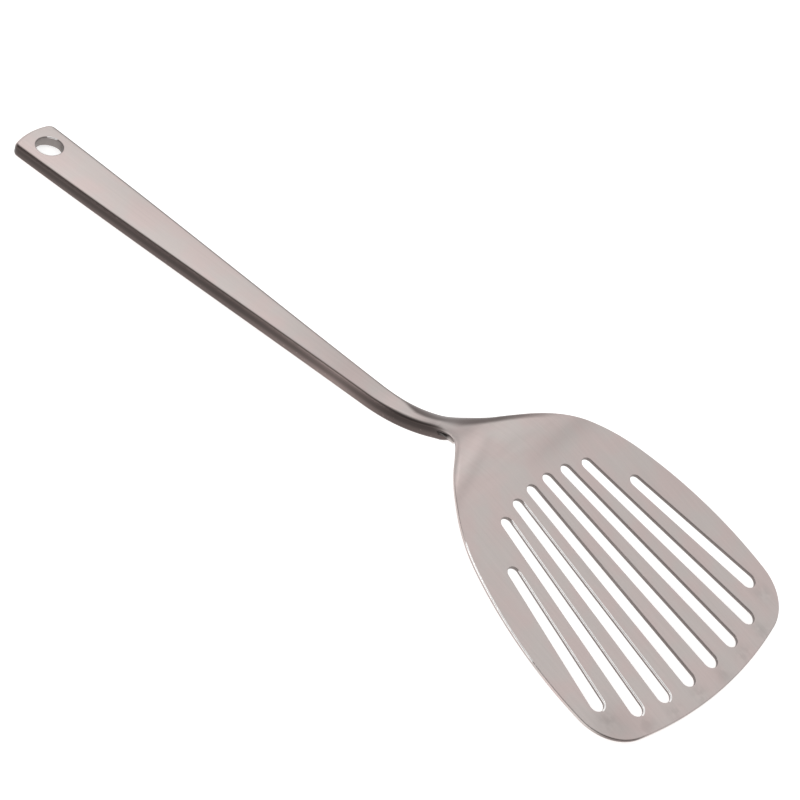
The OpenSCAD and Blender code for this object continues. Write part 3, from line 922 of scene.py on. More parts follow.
@dataclass
class Handle(SteelPiece):
    """The bar handle with its rounded edges, its hanging hole and its tongue under the root."""

    neck_t: float = 5.6
    width: float = 19.4
    taper_straight: float = 0.45
    corner_r: float = 2.75
    end_bow: float = 0.9
    hole_d: float = 10.0
    hole_from_end: float = 9.9
    hole_edge: float = 0.2
    hole_back_edge: float = 1.2
    hole_border: float = 0.12
    hole_back_border: float = 0.15
    edge_break: float = 0.3
    back_break: float = 0.1
    tongue_tip_t: float = 1.8
    bar_rows: int = 190
    end_steps: int = 16
    fine: int = 3000
    rolled_rows: tuple[float, ...] = (3.42, 3.2, 2.6, 2.0, 1.4, 0.9, 0.55, 0.3, 0.185, 0.088, 0.023, 0.0)
    support: float = 0.16
    flank_w: float = 0.55
    # Shade painted in the bore towards the neck, and a highlight painted on part of the hole's edge
    bore_dark: float = 0.55
    bore_turn: Span = (-0.05, 0.45)
    bore_rows: int = 6
    glint_way: Span = (-0.52, 0.854)
    glint_share: float = 0.93
    hole_reach: float = 6.6
    hole_rows: int = 4
    under_steps: int = 8
    nose_steps: int = 14
    turn_weight: float = 2.0
    tongue_rows: int = 12
    step_share: float = 0.315

    @property
    def hole_u(self) -> float:
        """Length at which the hanging hole's centre lies."""
        return self.side.end_u - self.hole_from_end

    def along(self, u: Array) -> Array:
        """Share of the way from the seam to the handle's end."""
        return (u - self.side.seam_u) / (self.side.end_u - self.side.seam_u)

    def half(self, u: Array) -> Array:
        """Half the width: part of the taper is straight and the rest eases in and out.

        It is never less than the root's, whose sides go on past the seam.
        """
        f = self.along(u)
        taper = mix(ease(f), f, self.taper_straight)
        plain = mix(self.plan.neck_w / 2.0, self.width / 2.0, taper)
        return np.maximum(self.root_half(u), plain)

    def thick(self, u: Array) -> Array:
        """Thickness: the neck's, and from there to the handle's by the square of the way along."""
        return mix(self.neck_t, self.posture.handle_t, self.along(u) ** 2)

    def curl(self, u: Array) -> Array:
        """0 where the edges are rolled as on the root, 1 where they are plainly rounded."""
        return ease((u - self.side.seam_u) / (self.side.handle_u - self.side.seam_u))

    def edge_depth(self, u: Array, inset: Array) -> Array:
        """Depth of the visible face at a distance in from the edge.

        With t = 1 - inset / width of the edge it is drop t^2 where the edge is rolled, plus a small
        quarter round, and drop (1 - sqrt(1 - t^2)) where it is plainly rounded.
        """
        curl, r = self.curl(u), self.posture.edge_r
        wide = mix(self.roll_w, r, curl)
        drop = mix(self.roll_drop, r, curl)
        t = np.clip(1.0 - inset / wide, 0.0, 1.0)
        rolled = drop * t * t + round_drop(inset, self.rim_r)
        plain = drop * (1.0 - np.sqrt(np.clip(1.0 - t * t, 0.0, 1.0)))
        return mix(rolled, plain, curl)

    def _top_insets(self, u: Array) -> Array:
        """Distances in from the visible edge, a column for each length u."""
        plain = self._plain_insets(len(self.rolled_rows) - 2)
        return mix(np.array(self.rolled_rows)[:, None], plain[:, None], self.curl(u)[None])

    def _plain_insets(self, steps: int) -> Array:
        """Distances in from a plainly rounded edge: a support row, then those round the edge."""
        r = self.posture.edge_r
        return np.concatenate([[r + self.support], round_insets(r, steps)])

    def _face_shade(self, u: Array, y: Array) -> Array:
        """Shade painted on the visible face beside its edges."""
        return self.shade.at(-u, y, self.half(u))

    def _bore_glint(self, circle: Array) -> Array:
        """1 on the part of the hole's upper edge where a highlight is painted, by its direction."""
        away = circle[..., :2] + np.array([self.hole_u, 0.0])
        away /= np.linalg.norm(away, axis=-1, keepdims=True)
        return ease((away @ np.array(self.glint_way) - self.glint_share) / (1.0 - self.glint_share) + 0.5)

    def _flank_share(self, inset: Array) -> Array:
        """Share of painted shade: 1 at the side wall, easing to 0 at a distance in from it."""
        return ease(1.0 - inset / self.flank_w)

    def _edge(self) -> tuple[Array, Array]:
        """Outline of the bar and its inward normals, from seam to seam round the end."""
        r, end = self.corner_r, self.side.end_u
        flat = float(self.half(np.array(end - r - self.end_bow))) - r
        bow_r = (flat**2 + self.end_bow**2) / (2.0 * self.end_bow)
        corner_e = bow_r - math.sqrt((bow_r - r) ** 2 - flat**2)
        lean = math.asin(flat / (bow_r - r))
        start = self.side.seam_u + self.lap_gap / 2.0
        us = np.linspace(start, end - corner_e, self.fine, endpoint=False)
        centre = np.array([end - corner_e, flat])
        sweep = np.linspace(QUARTER, lean, self.fine // 2, endpoint=False)
        bow = np.linspace(lean, 0.0, self.fine // 2)
        line = np.concatenate([
            np.stack([us, self.half(us)], axis=-1),
            centre + r * direction(sweep),
            np.array([end - bow_r, 0.0]) + bow_r * direction(bow),
        ])
        normals = inward_normals(line)
        corner = len(us) + len(sweep) // 2
        sides, side_in = resample(line[:corner + 1], normals[:corner + 1],
                                  run_along(line[:corner + 1], 0.0), self.bar_rows)
        ends, end_in = resample(line[corner:], normals[corner:],
                                run_along(line[corner:], self.turn_weight), self.end_steps)
        return (mirrored(np.concatenate([sides[:-1], ends])),
                mirrored(np.concatenate([side_in[:-1], end_in])))

    def _fill(self, inner: Array) -> Array:
        """Plan of the face between the innermost line's two sides; its last row is the end's."""
        f = np.linspace(0.0, 1.0, 2 * self.end_steps + 1)[None, :, None]
        rows = mix(inner[:self.bar_rows, None], inner[::-1][:self.bar_rows, None], f)
        last = inner[self.bar_rows:self.bar_rows + 2 * self.end_steps + 1]
        return np.concatenate([rows, last[None]])

    def _draw_face(self, plan: Array, depth: Array, rings: list[Span],
                   shade: Callable[[Array], Array], lit: float) -> Array:
        """Draws one of the bar's two faces, with a ring of squares round the hanging hole.

        The block of the grid round the hole gives way to lines that run straight from the block's
        border to the circles, each towards the hole's centre.

        Args:
            plan: Grid of (u, y) places.
            depth: Depth of the face at each length of the grid's rows.
            rings: Radii about the hole and depths there, from the outside in.
            shade: Gives the painted shade mask of developed points on this face.
            lit: 1 on the face whose hole edge gets a painted highlight, 0 on the other.

        Returns:
            The innermost ring.
        """
        centre = np.array([-self.hole_u, 0.0])
        middle = plan[:, self.end_steps, 0]
        first = int(np.searchsorted(middle, self.hole_u - self.hole_reach))
        last = self.bar_rows - 1
        grid = lay_points(-plan[..., 0], plan[..., 1], depth)
        masks = shade(grid)
        self.add(grid[:first + 1], flank=masks[:first + 1])
        self.add(grid[last:], flank=masks[last:])
        block = grid[first:last + 1]
        border = np.concatenate([block[-1, :-1], block[:0:-1, -1], block[0, :0:-1], block[:, 0]])
        away = border[:, :2] - centre
        away /= np.linalg.norm(away, axis=1, keepdims=True)
        lines = []
        for radius, level in rings:
            spots = centre + radius * away
            lines.append(lay_points(spots[:, 0], spots[:, 1], np.full(len(spots), level)))
        f = np.linspace(0.0, 1.0, self.hole_rows + 1)[:, None, None]
        spread = mix(border[None], lines[0][None], f)
        self.add(spread, flank=shade(spread))
        cut = np.clip(np.arange(len(rings)), 0.0, 1.0)[:, None]
        stack = np.stack(lines)
        self.add(stack, cut=cut, flank=(1.0 - cut) * shade(stack),
                 glint=lit * cut * self._bore_glint(stack))
        return lines[-1]

    def _draw_faces(self, face: Array, back: Array) -> None:
        """Draws both faces from their plans, with the hanging hole and its edges between them."""
        deep, r = float(self.thick(np.array([self.hole_u]))[0]), self.hole_d / 2.0
        edge, sink = self.hole_edge, self.hole_back_edge
        part, low = self.edge_break * edge, self.back_break
        upper_rings = [(r + edge + self.hole_border, 0.0), (r + edge, 0.0), (r + part, part), (r, edge)]
        lower_rings = [(r + sink + self.hole_back_border, deep), (r + sink, deep),
                       (r + low, deep - sink + low), (r, deep - sink)]
        upper = self._draw_face(face, np.zeros(face.shape[:2]), upper_rings,
                                lambda lay: self._face_shade(-lay[..., 0], lay[..., 1]), 1.0)
        lower = self._draw_face(back, self.thick(back[..., 0]), lower_rings,
                                lambda lay: np.zeros(lay.shape[:-1]), 0.0)
        f = np.linspace(0.0, 1.0, self.bore_rows + 1)[:, None, None]
        turn = rise((upper[:, 0] + self.hole_u) / r, *self.bore_turn)
        first = np.where(f[..., 0] == 0.0, 1.0, 0.0)
        # The bore gets painted shade towards the neck, strongest halfway down, and a painted highlight on
        # its upper edge
        self.add(mix(upper[None], lower[None], f), cut=1.0, glint=first * self._bore_glint(upper),
                 flank=self.bore_dark * turn * np.sin(math.pi * f[..., 0]))

    def _draw_bar(self) -> tuple[Array, Array]:
        """Draws the bar; returns its two rings at the seam, visible row and hidden row."""
        edge, inward = self._edge()
        insets = self._top_insets(edge[:, 0])
        plan = edge[None] + insets[..., None] * inward[None]
        top = lay_points(-plan[..., 0], plan[..., 1], self.edge_depth(plan[..., 0], insets))
        dark = self._face_shade(plan[..., 0], plan[..., 1])
        self.add(top, flank=dark)
        under = self._plain_insets(self.under_steps)
        low_plan = edge[None] + under[:, None, None] * inward[None]
        low_depth = self.thick(low_plan[..., 0]) - round_drop(under, self.posture.edge_r)[:, None]
        bottom = lay_points(-low_plan[..., 0], low_plan[..., 1], low_depth)
        self.add(bottom, flank=self._flank_share(under)[:, None])
        # The side walls are painted fully dark, for the dark surroundings that they reflect
        step = mix(top[-1], bottom[-1], self.step_share)
        self.add(np.stack([top[-1], step, bottom[-1]]),
                 flank=np.stack([dark[-1], *np.ones((2, len(edge)))]))
        face, back = self._fill(plan[0]), self._fill(low_plan[0])
        self._draw_faces(face, back)
        return self._ring_at_seam(top, face), self._ring_at_seam(bottom, back)

    @staticmethod
    def _ring_at_seam(rim: Array, fill: Array) -> Array:
        """Places across the section at the seam, from one side wall to the other, with depths."""
        row = fill[0, 1:-1]
        depth = np.full(len(row), rim[0, 0, 2])
        middle = lay_points(np.full(len(row), rim[0, 0, 0]), row[:, 1], depth)
        return np.concatenate([rim[::-1, 0], middle, rim[:, -1]])

    def _draw_tongue(self, visible: Array, hidden: Array) -> None:
        """Draws the tongue: the bar goes on one sheet deeper, thins and ends in a round nose.

        Its half width is that at the seam times sin a along the nose, where the length is
        nose (1 - cos a), and every place across shrinks with it.
        """
        side, r = self.side, self.posture.edge_r
        half = float(hidden[:, 1].max())
        nose = self.nose_ratio * half
        tip_u = side.seam_u - self.tongue_len
        a = np.linspace(QUARTER, 0.0, self.nose_steps + 1)
        straight = np.linspace(-visible[0, 0], tip_u + nose, self.tongue_rows, endpoint=False)
        us = np.concatenate([straight, tip_u + nose * (1.0 - np.cos(a))])[:, None]
        wide = np.concatenate([np.ones(len(straight)), np.sin(a)])[:, None]
        y_top = visible[None, :, 1] * wide
        top = lay_points(-us, y_top, self.roll(us, y_top) + self.sheet_t + self.lap_gap)
        thin = mix(self.sheet_t + self.tongue_tip_t, self.neck_t, ease((us - tip_u) / self.tongue_len))
        round_r = np.minimum(np.minimum(r, half * wide / 2.0), (thin - self.sheet_t) / 3.0)
        inset = half - np.abs(hidden[None, :, 1])
        scale = round_r / r
        kept = inset <= r + self.support + MERGE_GAP
        y_rim = np.sign(hidden[None, :, 1]) * (half * wide - inset * scale)
        reach = half * wide - (r + self.support) * scale
        y_flat = hidden[None, :, 1] * reach / (half - r - self.support)
        y_low = np.where(kept, y_rim, y_flat)
        drop = np.where(kept, round_drop(inset, r) * scale, 0.0)
        bottom = lay_points(-us, y_low, thin - drop)
        ends = self._face_shade(np.full(len(visible), side.seam_u), visible[:, 1])
        self.add(top, flank=ends)
        self.add(bottom, flank=self._flank_share(inset))
        # The tongue's walls are painted fully dark like the bar's
        for column in (0, -1):
            self.add(np.stack([top[:, column], bottom[:, column]]), flank=1.0)
        self.add(np.stack([visible, top[0]]), flank=ends)
        self.add(np.stack([top[-1], np.broadcast_to(bottom[-1, :1], top[-1].shape)]))

    def build(self, finish: "SteelFinish") -> bpy.types.Object:
        """Draws and sews the handle, and lets it stand for its solid."""
        visible, hidden = self._draw_bar()
        self._draw_tongue(visible, hidden)
        return enter(self.sew("bar_handle", finish.material()), "handle")


@dataclass
class NeckWeld(SteelPiece):
    """The fillet of weld metal round the tongue, with the small ripples of its pool."""

    leg: float = 1.2
    web_out: float = 0.9
    web_up: float = 2.5
    web_run: float = 13.0
    web_square: float = 0.95
    least: float = 0.1
    web_late: float = 1.4
    belly: float = 0.58
    ripple: float = 0.035
    ripple_pitch: float = 0.9
    rows: int = 60
    nose_rows: int = 36
    belly_steps: int = 8

    def _root(self, u: Array, y: Array) -> Array:
        """Depth of the root's hidden face: the rolled edge's depth plus the sheet."""
        return self.roll(u, y) + self.sheet_t

    def _stations(self) -> tuple[Array, Array, Array, Array]:
        """Places (u, y) along the tongue's outline with the outward directions there."""
        seam_u = self.side.seam_u
        half = float(self.root_half(np.array([seam_u]))[0])
        nose, tip_u = self.nose_ratio * half, seam_u - self.tongue_len
        straight = np.linspace(seam_u - self.lap_gap / 2.0, tip_u + nose, self.rows, endpoint=False)
        a = np.linspace(QUARTER, -QUARTER, 2 * self.nose_rows + 1)
        out = np.stack([-np.cos(a) / nose, np.sin(a) / half], axis=-1)
        out /= np.linalg.norm(out, axis=1, keepdims=True)
        ones = np.ones_like(straight)
        u = np.concatenate([straight, tip_u + nose * (1.0 - np.cos(a)), straight[::-1]])
        y = np.concatenate([half * ones, half * np.sin(a), -half * ones])
        out_u = np.concatenate([0.0 * ones, out[:, 0], 0.0 * ones])
        out_y = np.concatenate([ones, out[:, 1], -ones])
        return u, y, out_u, out_y

    def build(self, finish: "SteelFinish") -> bpy.types.Object:
        """Draws and sews the weld.

        A section is a curve from the tongue's wall to the root: (1 - t)^2 wall + 2 t (1 - t) belly
        + t^2 root, closed through the corner between them. Its control point is 2 belly - 1/2 of the
        way out, which puts the curve's middle at the belly. It swells a little with each ripple. In
        the corner under the neck it fills up to a web, which stands out past the root's edge.
        """
        u, y, out_u, out_y = self._stations()
        run = np.concatenate([[0.0], np.cumsum(np.hypot(np.diff(u), np.diff(y)))])
        swell = 1.0 + self.ripple * np.sin(2.0 * math.pi * run / self.ripple_pitch)
        ahead = np.clip((self.side.seam_u - u) / self.web_run, 0.0, 1.0) ** self.web_late
        web = ease(np.sin(math.pi * ahead))
        room = self.root_half(u) - np.abs(y)
        leg = np.maximum(self.least, np.minimum(self.leg, room))
        leg = mix(leg, room + self.web_out, web) * swell
        height = mix(self.leg, self.web_up, web)
        t = np.linspace(0.0, 1.0, self.belly_steps + 1)[:, None]
        control = mix(2.0 * self.belly - 0.5, self.web_square, web)[None]
        out = (2.0 * t * (1.0 - t) * control + t * t) * leg[None]
        up = ((1.0 - t) ** 2 + 2.0 * t * (1.0 - t) * control) * height[None]
        at_u, at_y = u[None] + out * out_u[None], y[None] + out * out_y[None]
        level = mix(self._root(u, y)[None], self._root(at_u, at_y), t)
        curve = lay_points(-at_u, at_y, level + up)
        corner = lay_points(-u, y, self._root(u, y))[None]
        sections = np.concatenate([curve, corner, curve[:1]])
        # The weld gets the bar's painted shade at the neck, easing to its own colour ahead
        self.add(sections, flank=self.shade.bead(-u)[None])
        for column in (0, -1):
            end = sections[:, column]
            middle = np.broadcast_to(end[:-1].mean(axis=0), end.shape)
            self.add(np.stack([end, middle]), flank=float(self.shade.bead(-u[0])))
        return enter(self.sew("neck_weld_bead", finish.material()), "neck_weld")


def enter(piece: bpy.types.Object, node: str) -> bpy.types.Object:
    """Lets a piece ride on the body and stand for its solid."""
    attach(piece, BODY)
    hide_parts(node)
    return piece


class Sketch:
    """A small pen for node trees: adds nodes and joins them."""

    def __init__(self, tree: bpy.types.NodeTree) -> None:
        """Starts on an empty tree."""
        self.tree = tree
        tree.nodes.clear()

    def node(self, kind: str, **settings: object) -> bpy.types.Node:
        """Adds a node and sets its properties."""
        made = self.tree.nodes.new(kind)
        for name, value in settings.items():
            setattr(made, name, value)
        return made

    def join(self, source: Socket, target: Socket) -> None:
        """Links an output to an input."""
        self.tree.links.new(source, target)

    def feed(self, target: Socket, value: object) -> None:
        """Links a socket to an input, or sets the input to a plain value."""
        if isinstance(value, Socket):
            self.join(value, target)
        else:
            target.default_value = value

    def math(self, operation: str, *values: object) -> Socket:
        """Adds a Math node on the given values."""
        made = self.node("ShaderNodeMath", operation=operation)
        for socket, value in zip(made.inputs, values):
            self.feed(socket, value)
        return made.outputs[0]

    def ramp(self, value: object, low: float, high: float, start: float = 0.0, stop: float = 1.0,
             smooth: bool = True) -> Socket:
        """Maps a value from low..high to start..stop, held at both ends."""
        kind = "SMOOTHSTEP" if smooth else "LINEAR"
        made = self.node("ShaderNodeMapRange", interpolation_type=kind, clamp=True)
        for name, entry in zip(("Value", "From Min", "From Max", "To Min", "To Max"),
                               (value, low, high, start, stop)):
            self.feed(made.inputs[name], entry)
        return made.outputs["Result"]

    def blend(self, factor: object, first: object, second: object) -> Socket:
        """Mixes two colours, given as sockets or as three numbers."""
        made = self.node("ShaderNodeMix", data_type="RGBA", clamp_factor=True)
        self.feed(made.inputs[0], factor)
        for target, colour in ((made.inputs[6], first), (made.inputs[7], second)):
            self.feed(target, colour if isinstance(colour, Socket) else (*colour, 1.0))
        return made.outputs[2]

    def curve(self, value: object, stops: Shades) -> Socket:
        """Factor read off a line through stops of a place and a factor, held at both ends."""
        low, high = stops[0][0], stops[-1][0]
        top = max(factor for _, factor in stops)
        made = self.node("ShaderNodeValToRGB")
        elements = made.color_ramp.elements
        while len(elements) < len(stops):
            elements.new(1.0)
        for element, (place, factor) in zip(elements, stops):
            element.position = (place - low) / (high - low)
            element.color = (factor / top, factor / top, factor / top, 1.0)
        self.join(self.ramp(value, low, high, smooth=False), made.inputs[0])
        return self.math("MULTIPLY", made.outputs[0], top)

    def scaled(self, colour: object, factor: object) -> Socket:
        """Multiplies a colour by a factor."""
        made = self.node("ShaderNodeVectorMath", operation="SCALE")
        self.feed(made.inputs[0], colour)
        self.feed(made.inputs["Scale"], factor)
        return made.outputs[0]

    def times(self, first: object, second: object) -> Socket:
        """Multiplies two colours or vectors, part by part."""
        made = self.node("ShaderNodeVectorMath", operation="MULTIPLY")
        self.feed(made.inputs[0], first)
        self.feed(made.inputs[1], second)
        return made.outputs[0]

    def split(self, vector: Socket) -> list[Socket]:
        """Splits a vector into its three parts."""
        made = self.node("ShaderNodeSeparateXYZ")
        self.join(vector, made.inputs[0])
        return list(made.outputs)

    def group(self, tree: bpy.types.NodeTree, **values: object) -> bpy.types.Node:
        """Places a node group and feeds its inputs by their names."""
        made = self.node("ShaderNodeGroup", node_tree=tree)
        for name, value in values.items():
            self.feed(made.inputs[name], value)
        return made

    def attribute(self, name: str) -> bpy.types.Node:
        """Adds a node that reads a value stored on the mesh."""
        return self.node("ShaderNodeAttribute", attribute_type="GEOMETRY", attribute_name=name)


@dataclass(frozen=True)
class Noise:
    """The settings of a noise texture."""

    scale: float
    detail: float
    rough: float

    def on(self, pen: Sketch, vector: object) -> Socket:
        """Adds the noise on a vector."""
        made = pen.node("ShaderNodeTexNoise")
        pen.feed(made.inputs["Vector"], vector)
        made.inputs["Scale"].default_value = self.scale
        made.inputs["Detail"].default_value = self.detail
        made.inputs["Roughness"].default_value = self.rough
        return made.outputs["Fac"]


# The noises of the finish, with their shares or the spans that are drawn out of them
COARSE_LINES, COARSE_SHARE = Noise(0.45, 3.0, 0.6), 0.55
FINE_LINES, FINE_SHARE = Noise(1.3, 2.0, 0.6), 0.45
CLOUDS, CLOUD_SPAN = Noise(34.0, 3.0, 0.5), (0.3, 0.7)
HUES, HUE_SPAN = Noise(72.0, 2.0, 0.5), (0.35, 0.65)
GRAIN = Noise(260.0, 2.0, 0.5)
# Specks that are painted as glints low on the bar's sides
MARKS, MARK_SPAN = Noise(900.0, 3.0, 0.6), (0.62, 0.78)
# Bands of shading painted across the root's bend
BANDS = Noise(1.0, 2.0, 0.55)


def new_group(name: str, inputs: dict[str, float | None], outputs: tuple[str, ...]) -> bpy.types.NodeTree:
    """Makes an empty node group with its sockets.

    Args:
        name: Name of the group.
        inputs: Default value of each number that goes in, or None for a vector.
        outputs: Names of the numbers that come out.

    Returns:
        The group.
    """
    group = bpy.data.node_groups.new(name, "ShaderNodeTree")
    for label, value in inputs.items():
        kind = "NodeSocketVector" if value is None else "NodeSocketFloat"
        made = group.interface.new_socket(label, in_out="INPUT", socket_type=kind)
        if value is not None:
            made.default_value = value
    for label in outputs:
        group.interface.new_socket(label, in_out="OUTPUT", socket_type="NodeSocketFloat")
    return group


def brush_group() -> bpy.types.NodeTree:
    """Fine lines of a brushed finish, long along the piece and narrow across it.

    Two stretched noises, one finer than the other, are added and centred on 0.5.

    Returns:
        A group with inputs Vector, Along and Across, and an output Lines.
    """
    group = new_group("brushed lines", {"Vector": None, "Along": 60.0, "Across": 2500.0}, ("Lines",))
    pen = Sketch(group)
    source, sink = pen.node("NodeGroupInput"), pen.node("NodeGroupOutput")
    scale = pen.node("ShaderNodeCombineXYZ")
    for target, label in zip(scale.inputs, ("Along", "Across", "Across")):
        pen.join(source.outputs[label], target)
    stretched = pen.times(source.outputs["Vector"], scale.outputs[0])
    coarse = pen.math("MULTIPLY", COARSE_LINES.on(pen, stretched), COARSE_SHARE)
    fine = pen.math("MULTIPLY", FINE_LINES.on(pen, stretched), FINE_SHARE)
    pen.join(pen.math("ADD", coarse, fine), sink.inputs["Lines"])
    return group


def handling_group() -> bpy.types.NodeTree:
    """Soft clouds left by polishing and handling, hues, a fine grain, and specks painted as glints.

    Returns:
        A group with an input Vector, and outputs Clouds, Hue, Grain and Marks.
    """
    group = new_group("handling marks", {"Vector": None}, ("Clouds", "Hue", "Grain", "Marks"))
    pen = Sketch(group)
    source, sink = pen.node("NodeGroupInput"), pen.node("NodeGroupOutput")
    vector = source.outputs["Vector"]
    for label, noise, span in (("Clouds", CLOUDS, CLOUD_SPAN), ("Hue", HUES, HUE_SPAN),
                               ("Marks", MARKS, MARK_SPAN)):
        pen.join(pen.ramp(noise.on(pen, vector), *span), sink.inputs[label])
    pen.join(GRAIN.on(pen, vector), sink.inputs["Grain"])
    return group


@dataclass
class Groups:
    """The shared node groups, each built once."""

    brush: bpy.types.NodeTree = field(default_factory=brush_group)
    handling: bpy.types.NodeTree = field(default_factory=handling_group)


@dataclass(frozen=True)
class SteelFinish:
    """A satin stainless steel with cut edges, painted shade on its flanks and painted highlights on its
    rims.

    Painted light along a piece: pairs of a place in metres, in developed coordinates, and a factor.
    """

    name: str
    groups: Groups
    face: Triple = (0.52, 0.455, 0.438)
    # Cut walls: their rougher sheared finish, darkened further with painted shade
    cut: Triple = (0.30, 0.27, 0.26)
    # Tint of the painted shade on the flanks and beside edges, which reflect dark surroundings
    flank: Triple = (1.08, 0.85, 0.795)
    # Colour of the highlights painted on bright rims
    rim: Triple = (0.96, 0.94, 0.93)
    warm: Triple = (1.02, 0.985, 0.985)
    cool: Triple = (0.98, 1.012, 1.01)
    # Painted light along the face, and painted shade and reflection along and down the flanks
    face_shades: Shades = ((0.0, 1.0), (0.1, 1.0))
    flank_shades: Shades = ((0.0, 1.0), (0.1, 1.0))
    depth_shades: Shades = ((0.0, 0.10), (0.0006, 0.10), (0.0012, 0.055), (0.0023, 0.06),
                            (0.0036, 0.11), (0.005, 0.125))
    # How much lighter the face is painted towards its near edge
    lean: float = 0.0
    # Strength of the bands of shading painted across the root's bend
    bands: float = 0.0
    roughness: float = 0.33
    cut_roughness: float = 0.42
    rim_roughness: float = 0.3
    along: float = 45.0
    across: float = 2300.0
    line_depth: float = 1.6e-6
    tint: float = 0.06
    # How much the painted shade darkens the dimples, and the painted shading the creases
    smudge_depth: float = 0.13
    tone_depth: float = 0.13
    # Specks painted lighter low on the bar's sides, as glints along its lower rounded edge
    speck_gain: float = 1.6
    speck_depth: Span = (0.0022, 0.0032)
    cloud_rough: float = 0.05
    line_span: Span = (0.3, 0.7)
    rim_grain: Span = (0.38, 0.62)
    rim_span: Span = (0.5, 0.62)
    spot_grain: Span = (0.35, 0.6)
    # The bands of painted shading: their stretch, span and window along the root
    band_stretch: Triple = (170.0, 26.0, 0.0)
    band_span: Span = (0.36, 0.64)
    band_start: Span = (-0.034, -0.026)
    band_end: Span = (0.004, -0.008)

    def material(self) -> bpy.types.Material:
        """Builds the material: lines and clouds vary the colour and the roughness, lines the relief."""
        made = bpy.data.materials.new(self.name)
        made.use_nodes = True
        pen = Sketch(made.node_tree)
        lay = pen.attribute(LAY).outputs["Vector"]
        masks = {mask: pen.attribute(mask.value).outputs["Fac"] for mask in Mask}
        brush = pen.group(self.groups.brush, Vector=lay, Along=self.along, Across=self.across)
        marks = pen.group(self.groups.handling, Vector=lay)
        rim = self._rim_share(pen, masks[Mask.GLINT], marks)
        colour = self._colour(pen, lay, masks, rim, brush, marks)
        soft = pen.math("SUBTRACT", marks.outputs["Clouds"], 0.5)
        rough = pen.math("MULTIPLY_ADD", soft, self.cloud_rough, self.roughness)
        rough = pen.math("MULTIPLY_ADD", masks[Mask.CUT], self.cut_roughness - self.roughness, rough)
        rough = pen.ramp(rim, 0.0, 1.0, rough, self.rim_roughness, smooth=False)
        bump = pen.node("ShaderNodeBump")
        bump.inputs["Strength"].default_value = 1.0
        bump.inputs["Distance"].default_value = self.line_depth
        pen.join(brush.outputs["Lines"], bump.inputs["Height"])
        shader = pen.node("ShaderNodeBsdfPrincipled")
        shader.inputs["Metallic"].default_value = 1.0
        pen.join(colour, shader.inputs["Base Color"])
        pen.join(rough, shader.inputs["Roughness"])
        pen.join(bump.outputs[0], shader.inputs["Normal"])
        sink = pen.node("ShaderNodeOutputMaterial")
        pen.join(shader.outputs[0], sink.inputs["Surface"])
        return made

    def _rim_share(self, pen: Sketch, glint: Socket,
                   marks: bpy.types.Node) -> Socket:
        """1 where a rim is bright: a weak glint mask leaves only flecks of it, a full one all.

        The grain about 0, times (1 - mask) / 2, is added to the mask, which then has to pass a limit.
        """
        grain = pen.math("SUBTRACT", pen.ramp(marks.outputs["Grain"], *self.rim_grain), 0.5)
        loose = pen.math("MULTIPLY_ADD", glint, -0.5, 0.5)
        return pen.ramp(pen.math("MULTIPLY_ADD", grain, loose, glint), *self.rim_span)

    def _colour(self, pen: Sketch, lay: Socket,
                masks: dict[Mask, Socket], rim: Socket,
                brush: bpy.types.Node, marks: bpy.types.Node) -> Socket:
        """Colour of the steel by its masks: face, cuts, painted shade and painted highlights on rims."""
        along, across, depth = pen.split(lay)
        hue = pen.blend(marks.outputs["Hue"], self.warm, self.cool)
        face = pen.scaled(self.face, pen.curve(along, self.face_shades))
        face = pen.scaled(face, pen.math("MULTIPLY_ADD", across, -self.lean, 1.0))
        face = pen.scaled(face, self._worn(pen, lay, along, masks, marks))
        face = pen.times(face, hue)
        # Specks painted lighter low on the flanks, and the painted shade's level by depth and along the
        # piece
        specks = pen.math("MULTIPLY", marks.outputs["Marks"], pen.ramp(depth, *self.speck_depth))
        flank = pen.math("MULTIPLY", pen.curve(depth, self.depth_shades),
                         pen.curve(along, self.flank_shades))
        flank = pen.math("MULTIPLY", flank, pen.math("MULTIPLY_ADD", specks, self.speck_gain, 1.0))
        base = pen.blend(masks[Mask.CUT], face, self.cut)
        base = pen.blend(masks[Mask.FLANK], base, pen.scaled(self.flank, flank))
        value = pen.math("ADD", pen.ramp(brush.outputs["Lines"], *self.line_span, -0.5, 0.5),
                         pen.math("SUBTRACT", marks.outputs["Clouds"], 0.5))
        base = pen.scaled(base, pen.math("MULTIPLY_ADD", value, self.tint, 1.0))
        return pen.blend(rim, base, self.rim)

    def _worn(self, pen: Sketch, lay: Socket, along: Socket,
              masks: dict[Mask, Socket],
              marks: bpy.types.Node) -> Socket:
        """Factor for shade painted at the dimples, on the creases and in bands across the root."""
        grain = pen.ramp(marks.outputs["Grain"], *self.spot_grain)
        spot = pen.math("MULTIPLY", masks[Mask.SMUDGE], grain)
        noise = BANDS.on(pen, pen.times(lay, self.band_stretch))
        band = pen.math("SUBTRACT", pen.ramp(noise, *self.band_span), 0.5)
        window = pen.math("MULTIPLY", pen.ramp(along, *self.band_start), pen.ramp(along, *self.band_end))
        band = pen.math("MULTIPLY", pen.math("MULTIPLY", band, window), self.bands)
        factor = pen.math("MULTIPLY_ADD", masks[Mask.TONE], -self.tone_depth, pen.math("ADD", band, 1.0))
        return pen.math("MULTIPLY_ADD", spot, -self.smudge_depth, factor)


# Colours of the pieces, and the light and shade painted along and across each of them
BLADE_FACE: Triple = (0.538, 0.471, 0.453)
BLADE_LEAN = 0.7
# Painted light along the blade: shading on the root and a reflection towards the front
BLADE_FACE_SHADES: Shades = ((-0.034, 0.93), (-0.027, 0.9), (-0.021, 1.0), (0.03, 1.0), (0.06, 1.02),
                             (0.09, 1.06))
# The weld's painted shade is darker near the neck, where it would catch the rim softbox
BEAD_FLANK_SHADES: Shades = ((-0.04, 0.5), (-0.0315, 0.5), (-0.0285, 0.8), (-0.02, 0.8))
BAR_LEAN = 6.5
